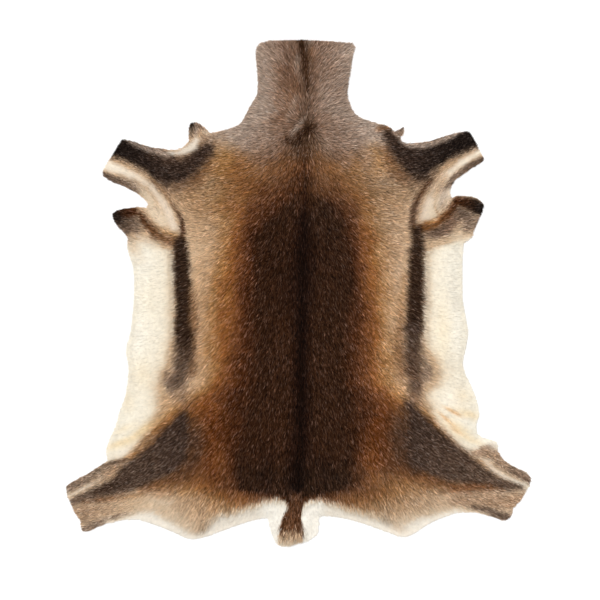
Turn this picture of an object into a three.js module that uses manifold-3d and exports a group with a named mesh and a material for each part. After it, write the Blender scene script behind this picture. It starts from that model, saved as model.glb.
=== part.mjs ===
// A whole reindeer hide, tanned, lying flat with its hair side up.
// Millimetres. +Y runs up the spine towards the neck, +X to the right of the
// hide seen from above, +Z up through the hair. The skin side lies on z = 0 and
// the origin is under the middle of the hide's bounding box.
//
// The hide is one skin. Its outline is the union of strips: the trunk, four
// legs, two elbow flaps, two small tabs at the shoulders, the rump's lower edge
// and the tail. Each strip is a row of sections along its own axis. The upper
// face is the top of the coat: deep on the neck and belly, short on the legs,
// rolled down to the edges, and creased where the belly folds at the flanks.

import * as THREE from 'three';
import { mergeVertices } from 'three/addons/utils/BufferGeometryUtils.js';
import Module from 'manifold-3d';

// ---- driving dimensions -------------------------------------------------
const GRID = 22;          // spacing of the coat's surface points
const EDGE_STEP = 12;     // spacing of points along the outline
const EDGE_DEPTH = 4.5;   // depth of skin and flattened hair right at the edge
const EDGE_ROLL = 42;     // how far in from the edge the coat reaches full depth
const FIELD = { width: 1210, length: 1310, depth: 60 };

// ---- outline: one table of sections for each strip ----------------------
// root     where the strip's axis starts, [x, y]
// heading  the axis direction, degrees anticlockwise from +X
// rows     [at, left, right]: distance along the axis, and how far the edge
//          lies to the left and to the right of it, looking along the heading
// end      [at, side]: the cut or rounded end, from the left edge round to the
//          right one; side is positive on the left
const STRIPS = {
  trunk: {
    root: [10, 0], heading: 90,
    rows: [
      // at   left right
      [-470, 400, 370],
      [-440, 452, 418],
      [-410, 480, 444],
      [-380, 482, 450],
      [-352, 470, 431],
      [-325, 459, 427],
      [-300, 452, 434],
      [-250, 435, 423],
      [-180, 428, 394],
      [-140, 434, 400],
      [-100, 424, 407],
      [-20, 415, 394],
      [60, 416, 393],
      [100, 428, 394],
      [130, 431, 397],
      [160, 420, 400],
      [190, 400, 383],
      [219, 380, 369],
      [250, 370, 362],
      [300, 346, 325],
      [350, 304, 268],
      [385, 262, 237],
      [400, 200, 223],
      [410, 168, 214],
      [420, 153, 180],
      [440, 142, 133],
      [460, 131, 120],
      [490, 114, 112],
      [540, 113, 119],
      [590, 117, 128],
      [606, 114, 130],
    ],
    end: [[617, 105], [622, 80], [624, 5], [622, -60], [616, -122]],
  },
  left_foreleg: {
    root: [-292, 290], heading: 164,
    rows: [
      [-20, 50, 70],
      [0, 62, 79],
      [18, 76, 62],
      [45, 90, 54],
      [56, 88, 53],
      [75, 79, 50],
      [105, 70, 48],
      [135, 66, 50],
      [161, 63, 47],
    ],
    end: [[181, 56], [186, 43], [179, 15], [170, -18]],
  },
  right_foreleg: {
    root: [299, 290], heading: 27,
    rows: [
      [-20, 70, 40],
      [-4, 92, 55],
      [12, 83, 66],
      [30, 76, 70],
      [50, 69, 67],
      [60, 66, 58],
      [75, 64, 52],
      [105, 58, 47],
      [135, 51, 44],
      [150, 45, 43],
    ],
    end: [[157, 41], [160, 20], [159, 0], [158, -20], [160, -37]],
  },
  left_elbow_flap: {
    root: [-365, 167], heading: 163,
    rows: [
      [0, 50, 36],
      [30, 56, 38],
      [45, 46, 35],
      [60, 36, 28],
      [75, 28, 21],
      [90, 15, 12],
    ],
    end: [[98, 4], [98, -2]],
  },
  right_elbow_flap: {
    root: [348, 175], heading: 20,
    rows: [
      [20, 40, 60],
      [45, 46, 68],
      [60, 48, 63],
      [75, 42, 46],
      [90, 36, 31],
      [105, 27, 15],
    ],
    end: [[113, 14], [117, 2], [113, -6]],
  },
  left_shoulder_tab: {
    root: [-242, 352], heading: 105,
    rows: [
      [0, 26, 44],
      [22, 24, 42],
      [38, 20, 34],
      [52, 17, 25],
      [63, 12, 17],
    ],
    end: [[71, 7], [70, -8]],
  },
  right_shoulder_tab: {
    root: [237, 371], heading: 62,
    rows: [
      [0, 20, 12],
      [14, 21, 8],
      [23, 17, 9],
      [30, 8, 12],
      [36, 5, 8],
    ],
    end: [[45, 3], [45, -3]],
  },
  left_hind_leg: {
    root: [-365, -485], heading: -167,
    rows: [
      [0, 88, 100],
      [30, 68, 100],
      [60, 60, 96],
      [92, 56, 93],
      [120, 58, 83],
      [150, 62, 74],
      [171, 66, 68],
      [184, 63, 65],
    ],
    end: [[187, 58], [185, 36], [195, 10], [202, -31], [201.2, -56]],
  },
  right_hind_leg: {
    root: [373, -472], heading: -10,
    rows: [
      [0, 110, 78],
      [30, 128, 64],
      [60, 131, 57],
      [80, 129, 56],
      [90, 127, 58],
      [98, 119, 59],
      [100, 107, 59],
      [106, 98, 60],
      [120, 85, 62],
      [135, 78, 66],
      [150, 73, 64],
    ],
    end: [[180, 64], [194.4, 53], [192, 29], [178, -9], [163, -30], [163, -50]],
  },
  rump_edge: {
    root: [0, -470], heading: 0,
    rows: [
      [-400, 30, 84],
      [-350, 40, 101],
      [-300, 40, 121],
      [-270, 40, 134],
      [-240, 40, 132],
      [-180, 40, 111],
      [-100, 40, 86],
      [0, 40, 80],
      [90, 40, 80],
      [170, 40, 100],
      [230, 40, 122],
      [258, 40, 130],
      [280, 40, 124],
      [320, 40, 98],
      [350, 40, 84],
      [385, 30, 72],
    ],
    end: [],
  },
  tail: {
    root: [-11, -522], heading: -90,
    rows: [
      [0, 50, 50],
      [24, 62, 63],
      [45, 60, 61],
      [60, 63, 57],
      [74, 55, 52],
    ],
    end: [[88, 35], [95, 9], [102, -10], [101.6, -30], [94, -44]],
  },
};

// ---- coat depth: the top of the hair above the floor, by region ----------
const COAT = [
  // region          x     y    reach depth
  ['neck',           8,   540,  110,  21],
  ['neck root',      8,   400,  130,  19],
  ['withers',        8,   230,  150,  16],
  ['back',           8,     0,  220,  15],
  ['rump',           8,  -380,  180,  17],
  ['left flank',  -270,   -20,  120,  14],
  ['right flank',  270,   -20,  120,  14],
  ['left belly',  -390,   -60,   90,  17],
  ['right belly',  395,   -60,   90,  17],
  ['left groin',  -420,  -330,   80,  16],
  ['right groin',  430,  -330,   80,  16],
  ['left haunch', -330,  -450,   90,  12],
  ['right haunch', 330,  -450,   90,  12],
  ['left hind leg', -520, -500,  70,   9],
  ['right hind leg', 520, -480,  70,   9],
  ['left foreleg', -440,  330,   80,   9],
  ['right foreleg', 430,  350,   80,   9],
  ['left armpit', -350,   190,   50,   8],
  ['right armpit', 345,   210,   50,   8],
  ['tail',          -8,  -590,   50,  14],
];

// ---- folds: soft ridges (height > 0) and troughs (height < 0) ------------
const FOLDS = [
  // fold                      x1    y1    x2    y2  width height
  ['left groin ridge',       -330, -275, -455, -345,  24,   4],
  ['left groin trough',      -310, -305, -440, -385,  22,  -4],
  ['right groin upper ridge', 360, -278,  425, -300,  20,   4],
  ['right groin trough',      335, -285,  400, -335,  20,  -5],
  ['right groin lower ridge', 345, -325,  440, -375,  24,   5],
  ['right hock trough',       420, -395,  485, -372,  18,  -4],
  ['left belly bulge',       -385,  120, -385, -200,  60,   2],
  ['right belly bulge',       390,  110,  395, -200,  60,   2],
  ['nape ridge',               15,  600,   10,  420,  45,   3],
  ['withers dip',             -25,  400,   15,  360,  30,  -3],
  ['spine line',                8,  340,    8, -460,  26,   2],
];

// ---- the lie of the skin under the coat ---------------------------------
const WAVES = [
  // wave             x period  y period  phase  height
  ['across the back',    520,     1900,    0.6,   0.9],
  ['down the flanks',    760,      430,    2.1,   0.8],
  ['small unevenness',   210,      260,    4.0,   0.5],
];

// ---- helpers ------------------------------------------------------------
const smooth = (t) => { const u = Math.min(1, Math.max(0, t)); return u * u * (3 - 2 * u); };

// points along a smooth curve through the given ones, evenly spaced
function alongCurve(points, step) {
  if (points.length < 3) return points;
  const curve = new THREE.CatmullRomCurve3(
    points.map(([x, y]) => new THREE.Vector3(x, y, 0)), false, 'centripetal');
  const n = Math.max(2, Math.round(curve.getLength() / step));
  return curve.getSpacedPoints(n).map((p) => [p.x, p.y]);
}

// the closed polygon of one strip, anticlockwise
function stripPolygon({ root, heading, rows, end }) {
  const a = THREE.MathUtils.degToRad(heading);
  const [hx, hy] = [Math.cos(a), Math.sin(a)];
  const place = (at, side) => [root[0] + hx * at - hy * side, root[1] + hy * at + hx * side];
  const step = Math.min(EDGE_STEP, 6 + rows.length);
  const left = alongCurve(rows.map(([at, l]) => place(at, l)), step);
  const right = alongCurve(rows.map(([at, , r]) => place(at, -r)), step);
  const tip = end.map(([at, side]) => place(at, side));
  return [...right, ...tip.reverse(), ...left.reverse()];
}

// distance from a point to the polygon's edge, positive inside
function insideDistance(poly, x, y) {
  let best = Infinity;
  let inside = false;
  for (let i = 0, j = poly.length - 1; i < poly.length; j = i++) {
    const [ax, ay] = poly[i];
    const [bx, by] = poly[j];
    if ((ay > y) !== (by > y) && x < ((bx - ax) * (y - ay)) / (by - ay) + ax) inside = !inside;
    const ex = bx - ax;
    const ey = by - ay;
    const t = Math.min(1, Math.max(0, ((x - ax) * ex + (y - ay) * ey) / (ex * ex + ey * ey)));
    best = Math.min(best, Math.hypot(x - ax - t * ex, y - ay - t * ey));
  }
  return inside ? best : -best;
}

const polygons = Object.values(STRIPS).map(stripPolygon);

function coatDepth(x, y) {
  let sum = 0;
  let weight = 1e-9;
  for (const [, cx, cy, reach, depth] of COAT) {
    const w = Math.exp(-((x - cx) ** 2 + (y - cy) ** 2) / (2 * reach * reach)) + 1e-5;
    sum += w * depth;
    weight += w;
  }
  return sum / weight;
}

function foldHeight(x, y) {
  let z = 0;
  for (const [, x1, y1, x2, y2, width, height] of FOLDS) {
    const [dx, dy] = [x2 - x1, y2 - y1];
    const t = Math.min(1, Math.max(0, ((x - x1) * dx + (y - y1) * dy) / (dx * dx + dy * dy)));
    const d = Math.hypot(x - x1 - t * dx, y - y1 - t * dy);
    z += height * Math.exp(-((d / width) ** 2));
  }
  return z;
}

function waveHeight(x, y) {
  return WAVES.reduce((z, [, px, py, phase, height]) =>
    z + height * Math.sin((2 * Math.PI * x) / px + phase) * Math.cos((2 * Math.PI * y) / py + phase), 0);
}

function coatTop(x, y) {
  const edge = Math.max(...polygons.map((poly) => insideDistance(poly, x, y)));
  const roll = smooth(edge / EDGE_ROLL);
  const full = coatDepth(x, y) + foldHeight(x, y) + waveHeight(x, y);
  return EDGE_DEPTH + (full - EDGE_DEPTH) * roll;
}

// ---- solids -------------------------------------------------------------
const wasm = await Module();
wasm.setup();

function toManifold(geometry) {
  const g = geometry.clone();
  g.deleteAttribute('normal');
  g.deleteAttribute('uv');
  const merged = mergeVertices(g, 1e-4);
  return new wasm.Manifold(new wasm.Mesh({
    numProp: 3,
    vertProperties: new Float32Array(merged.attributes.position.array),
    triVerts: new Uint32Array(merged.index.array),
  }));
}

function fromManifold(solid) {
  const mesh = solid.getMesh();
  const g = new THREE.BufferGeometry();
  g.setAttribute('position', new THREE.BufferAttribute(new Float32Array(mesh.vertProperties), 3));
  g.setIndex(new THREE.BufferAttribute(new Uint32Array(mesh.triVerts), 1));
  g.computeVertexNormals();
  return g;
}

// the outline as an upright prism standing on the skin side
function outlinePrism() {
  return polygons.map((poly) => {
    const shape = new THREE.Shape(poly.map(([x, y]) => new THREE.Vector2(x, y)));
    return toManifold(new THREE.ExtrudeGeometry(shape, { depth: FIELD.depth, bevelEnabled: false }));
  }).reduce((all, one) => all.add(one));
}

// a field whose upper face is the top of the coat
function coatField() {
  const g = new THREE.BoxGeometry(FIELD.width, FIELD.length, 40,
    Math.round(FIELD.width / GRID), Math.round(FIELD.length / GRID), 1);
  const p = g.attributes.position;
  for (let i = 0; i < p.count; i++) {
    if (p.getZ(i) > 0) p.setZ(i, coatTop(p.getX(i), p.getY(i)));
  }
  return toManifold(g);
}

const hideGeometry = fromManifold(outlinePrism().intersect(coatField()));

const hide = new THREE.Mesh(hideGeometry, new THREE.MeshStandardMaterial({
  color: new THREE.Color(0.2, 0.12, 0.075), roughness: 0.85, metalness: 0,
}));
hide.name = 'hide';

const part = new THREE.Group();
part.name = 'reindeer_hide';
part.add(hide);

export default part;
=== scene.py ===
"""A reindeer hide lying flat, hair side up: leather, undercoat and guard hair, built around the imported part."""

import math

import bpy
import numpy as np
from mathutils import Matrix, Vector
from mathutils.bvhtree import BVHTree
from mathutils.geometry import delaunay_2d_cdt


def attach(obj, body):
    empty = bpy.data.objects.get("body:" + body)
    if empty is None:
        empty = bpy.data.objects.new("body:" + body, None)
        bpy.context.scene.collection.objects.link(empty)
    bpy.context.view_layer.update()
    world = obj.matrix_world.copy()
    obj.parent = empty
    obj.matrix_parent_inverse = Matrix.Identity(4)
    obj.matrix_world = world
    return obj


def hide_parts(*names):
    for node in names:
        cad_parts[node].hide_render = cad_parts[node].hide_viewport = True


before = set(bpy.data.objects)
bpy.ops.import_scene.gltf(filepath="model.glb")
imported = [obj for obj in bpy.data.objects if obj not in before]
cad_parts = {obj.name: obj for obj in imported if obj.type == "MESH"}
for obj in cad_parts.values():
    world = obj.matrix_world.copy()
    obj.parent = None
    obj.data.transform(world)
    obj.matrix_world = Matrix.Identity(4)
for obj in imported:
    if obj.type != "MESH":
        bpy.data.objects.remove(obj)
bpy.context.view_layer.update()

MM = 0.001
SKIN_TOP = 2.2 * MM
SKIN_FOOT = 0.4 * MM
PILE = 5.0 * MM                 # how far the guard hair stands over the undercoat
HAIRS = 58000                   # guard hairs in each piece of the coat
COAT_PIECES = 5
RNG = np.random.RandomState(20)


# ---------------------------------------------------------------------------
# The coat's pattern. Its tables are drawn on a chart of the hide seen from
# above, one unit to UNIT metres, u to the right and v down; chart() turns the
# model's own X and Y into it. The unit is one pixel of the
# 600-pixel view from above, so borders read off that view go in as they are.
# Colours are sRGB.
# ---------------------------------------------------------------------------
UNIT = 0.00246
CHART_U, CHART_V = 298.5, 293.0


def chart(x, y):
    return x / UNIT + CHART_U, CHART_V - y / UNIT


def unchart(u, v):
    return (u - CHART_U) * UNIT, (CHART_V - v) * UNIT


def rgb(text):
    return np.array([int(text[i:i + 2], 16) for i in (0, 2, 4)], float) / 255.0


TONES = {
    "ink": rgb("150803"), "deep": rgb("26150c"), "back": rgb("331f13"), "umber": rgb("4a2c1b"),
    "chestnut": rgb("694229"), "rufous": rgb("855630"), "tawny": rgb("a27c56"),
    "fawn": rgb("c3a382"), "sand": rgb("cdb294"), "stripe": rgb("36261c"),
    "stripe_brown": rgb("50392b"), "cream": rgb("e5dccb"), "milk": rgb("ebe5d8"), "ivory": rgb("f2e9da"),
    "buff": rgb("dccab2"), "straw": rgb("e6cb9c"), "amber": rgb("c98f55"),
    "grey": rgb("b9b4ac"), "pink": rgb("dccbb8"), "linen": rgb("ddcfbb"), "flap": rgb("ece7de"), "hem": rgb("e4dcd0"), "nape": rgb("503b2d"),
    "neck": rgb("7c604e"), "taupe": rgb("937a69"), "dove": rgb("ad998a"),
    "golden": rgb("a87942"), "cocoa": rgb("654a3a"), "bister": rgb("7d5a3e"), "soot": rgb("2b211c"), "coal": rgb("1f1713"),
    "rim": rgb("86705f"), "hock": rgb("8d7762"), "hock_dark": rgb("5d4a3d"),
    "haunch": rgb("43332a"), "haunch_brown": rgb("523a2c"), "russet": rgb("663819"),
    "bone": rgb("e8e0d4"), "shank": rgb("a88a6f"), "tail": rgb("583a28"), "tail_tip": rgb("bda082"),
}


def smooth01(t):
    t = np.clip(t, 0.0, 1.0)
    return t * t * (3 - 2 * t)


_LATTICE = {}


def cloud(x, y, size, seed):
    """Smooth value noise from -1 to 1, one lump to size units."""
    if seed not in _LATTICE:
        _LATTICE[seed] = np.random.RandomState(seed).rand(64, 64) * 2 - 1
    g = _LATTICE[seed]
    x, y = x / size + 17.3, y / size + 9.1
    i, j = np.floor(x).astype(int), np.floor(y).astype(int)
    fx, fy = smooth01(x - i), smooth01(y - j)
    a = g[i % 64, j % 64] * (1 - fx) + g[(i + 1) % 64, j % 64] * fx
    b = g[i % 64, (j + 1) % 64] * (1 - fx) + g[(i + 1) % 64, (j + 1) % 64] * fx
    return a * (1 - fy) + b * fy


# Sections across the trunk. Each row is a station down the hide; the columns
# are how far out from the spine each tone is reached, on that side.
# station   ink back umber chestnut rufous tawny fawn
TRUNK_LEFT = [
    (120,    0,   0,    0,     4,    30,   80,  170,  260),
    (150,    0,   0,    0,     4,    34,   74,  150,  260),
    (168,    0,   0,    0,     4,    38,   92,  166,  260),
    (190,    0,   0,    4,    32,    58,   92,  148,  250),
    (205,    0,  14,   28,    48,    64,   90,  130,  200),
    (225,    0,  36,   45,    55,    66,   79,   95,  145),
    (245,    3,  44,   52,    59,    68,   79,   91,  105),
    (275,    3,  43,   55,    62,    72,   85,   98,  120),
    (305,    4,  42,   56,    65,    75,   89,  101,  130),
    (335,    4,  38,   54,    65,    77,   89,  100,  130),
    (365,    4,  40,   57,    69,    80,   91,  106,  135),
    (382,    4,  40,   58,    71,    81,   89,  102,  130),
    (395,    3,  44,   70,    83,    94,  106,  122,  150),
    (410,    3,  46,   70,    87,   108,  130,  150,  190),
    (430,    3,  48,   72,    98,   130,  160,  190,  230),
    (455,    3,  58,   68,    96,   134,  165,  200,  240),
    (475,    2,  57,   63,    78,   108,  150,  196,  240),
    (488,    1,  55,   60,    69,    88,  124,  165,  220),
    (496,    0,   0,   14,    40,    70,   94,  124,  150),
    (505,    0,   0,    0,    16,    34,   74,  112,  130),
    (520,    0,   0,    0,     4,    16,   44,   84,  110),
]
TRUNK_RIGHT = [
    (120,    0,   0,    0,     3,    14,   66,  170,  260),
    (150,    0,   0,    0,     3,    26,   62,  140,  260),
    (168,    0,   0,    0,     2,    22,   64,  148,  260),
    (190,    0,   0,    3,    24,    45,   78,  146,  260),
    (205,    0,  20,   32,    46,    58,   73,  104,  190),
    (225,    0,  36,   44,    53,    62,   72,   98,  170),
    (245,    1,  42,   54,    60,    68,   76,  100,  130),
    (275,    3,  48,   54,    59,    68,   80,   95,  120),
    (305,    4,  42,   56,    62,    73,   83,   96,  130),
    (335,    4,  42,   56,    67,    76,   82,   95,  130),
    (365,    4,  38,   53,    64,    74,   86,  102,  134),
    (382,    4,  38,   52,    63,    75,   84,  104,  130),
    (395,    4,  42,   60,    73,    88,   98,  112,  140),
    (410,    4,  42,   65,    85,   102,  118,  140,  190),
    (430,    4,  44,   66,    97,   130,  160,  190,  230),
    (455,    4,  52,   62,   100,   140,  165,  200,  240),
    (475,    3,  46,   54,    78,   110,  160,  200,  240),
    (488,    1,  44,   52,    62,    88,  132,  190,  240),
    (496,    0,   0,   10,    34,    76,  110,  150,  190),
    (505,    0,   0,    0,    18,    42,   90,  140,  170),
    (520,    0,   0,    0,     4,    16,   44,   90,  130),
]
TRUNK_TONES = ["ink", "back", "umber", "chestnut", "rufous", "tawny", "fawn", "sand"]
# station   nape neck taupe dove
NECK = [
    (40,      1,   9,   26,   46),
    (70,     -1,   8,   26,   48),
    (95,     -5,   7,   22,   46),
    (112,    -9,   5,   20,   44),
    (128,     2,  16,   32,   62),
    (145,     6,  24,   42,   76),
    (170,    10,  34,   66,  130),
]
NECK_TONES = ["nape", "neck", "taupe", "dove"]
# the spine's place at each station
SPINE = [(40, 302), (60, 304), (80, 305.5), (100, 307), (120, 308), (135, 306), (160, 305), (200, 305),
         (240, 303), (300, 302), (360, 301), (420, 301.5), (480, 298), (520, 294), (548, 290)]


def gradient(table, tones, v, d, narrow=0.0):
    t = np.array(table, float)
    cols = [np.interp(v, t[:, 0], t[:, k + 1]) for k in range(len(tones))]
    if tones[0] == "ink":
        # out of the dark line the back's own tone is reached halfway and then held
        cols[0] = np.minimum(cols[0], 1.5)
        cols[1:1] = [cols[1] * narrow, cols[1] * (narrow + 0.18)]
        tones = ["ink", "deep", "back"] + tones[1:]
    out = np.repeat(TONES[tones[0]][None], len(v), 0)
    for k in range(len(tones) - 1):
        w = np.clip((d - cols[k]) / np.maximum(cols[k + 1] - cols[k], 1e-3), 0, 1)
        step = (d >= cols[k])[:, None]
        mixed = TONES[tones[k]] * (1 - w[:, None]) + TONES[tones[k + 1]] * w[:, None]
        out = np.where(step, mixed, out)
    return out


def band_depth(u, v, pts):
    """How deep each point lies inside a band: rows of u, v and half-width."""
    best = np.full(len(u), -1e9)
    for (u1, v1, w1), (u2, v2, w2) in zip(pts[:-1], pts[1:]):
        du, dv = u2 - u1, v2 - v1
        t = np.clip(((u - u1) * du + (v - v1) * dv) / (du * du + dv * dv + 1e-9), 0, 1)
        d = np.hypot(u - u1 - t * du, v - v1 - t * dv)
        best = np.maximum(best, w1 + (w2 - w1) * t - d)
    return best


def patch_depth(u, v, pts):
    """How deep each point lies inside a closed outline, less than none outside."""
    best = np.full(len(u), 1e9)
    odd = np.zeros(len(u), bool)
    for (u1, v1), (u2, v2) in zip(pts, pts[1:] + pts[:1]):
        du, dv = u2 - u1, v2 - v1
        t = np.clip(((u - u1) * du + (v - v1) * dv) / (du * du + dv * dv + 1e-9), 0, 1)
        best = np.minimum(best, np.hypot(u - u1 - t * du, v - v1 - t * dv))
        if v1 != v2:
            odd ^= ((v1 > v) != (v2 > v)) & (u < u1 + (v - v1) / dv * du)
    return np.where(odd, best, -best)


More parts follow.
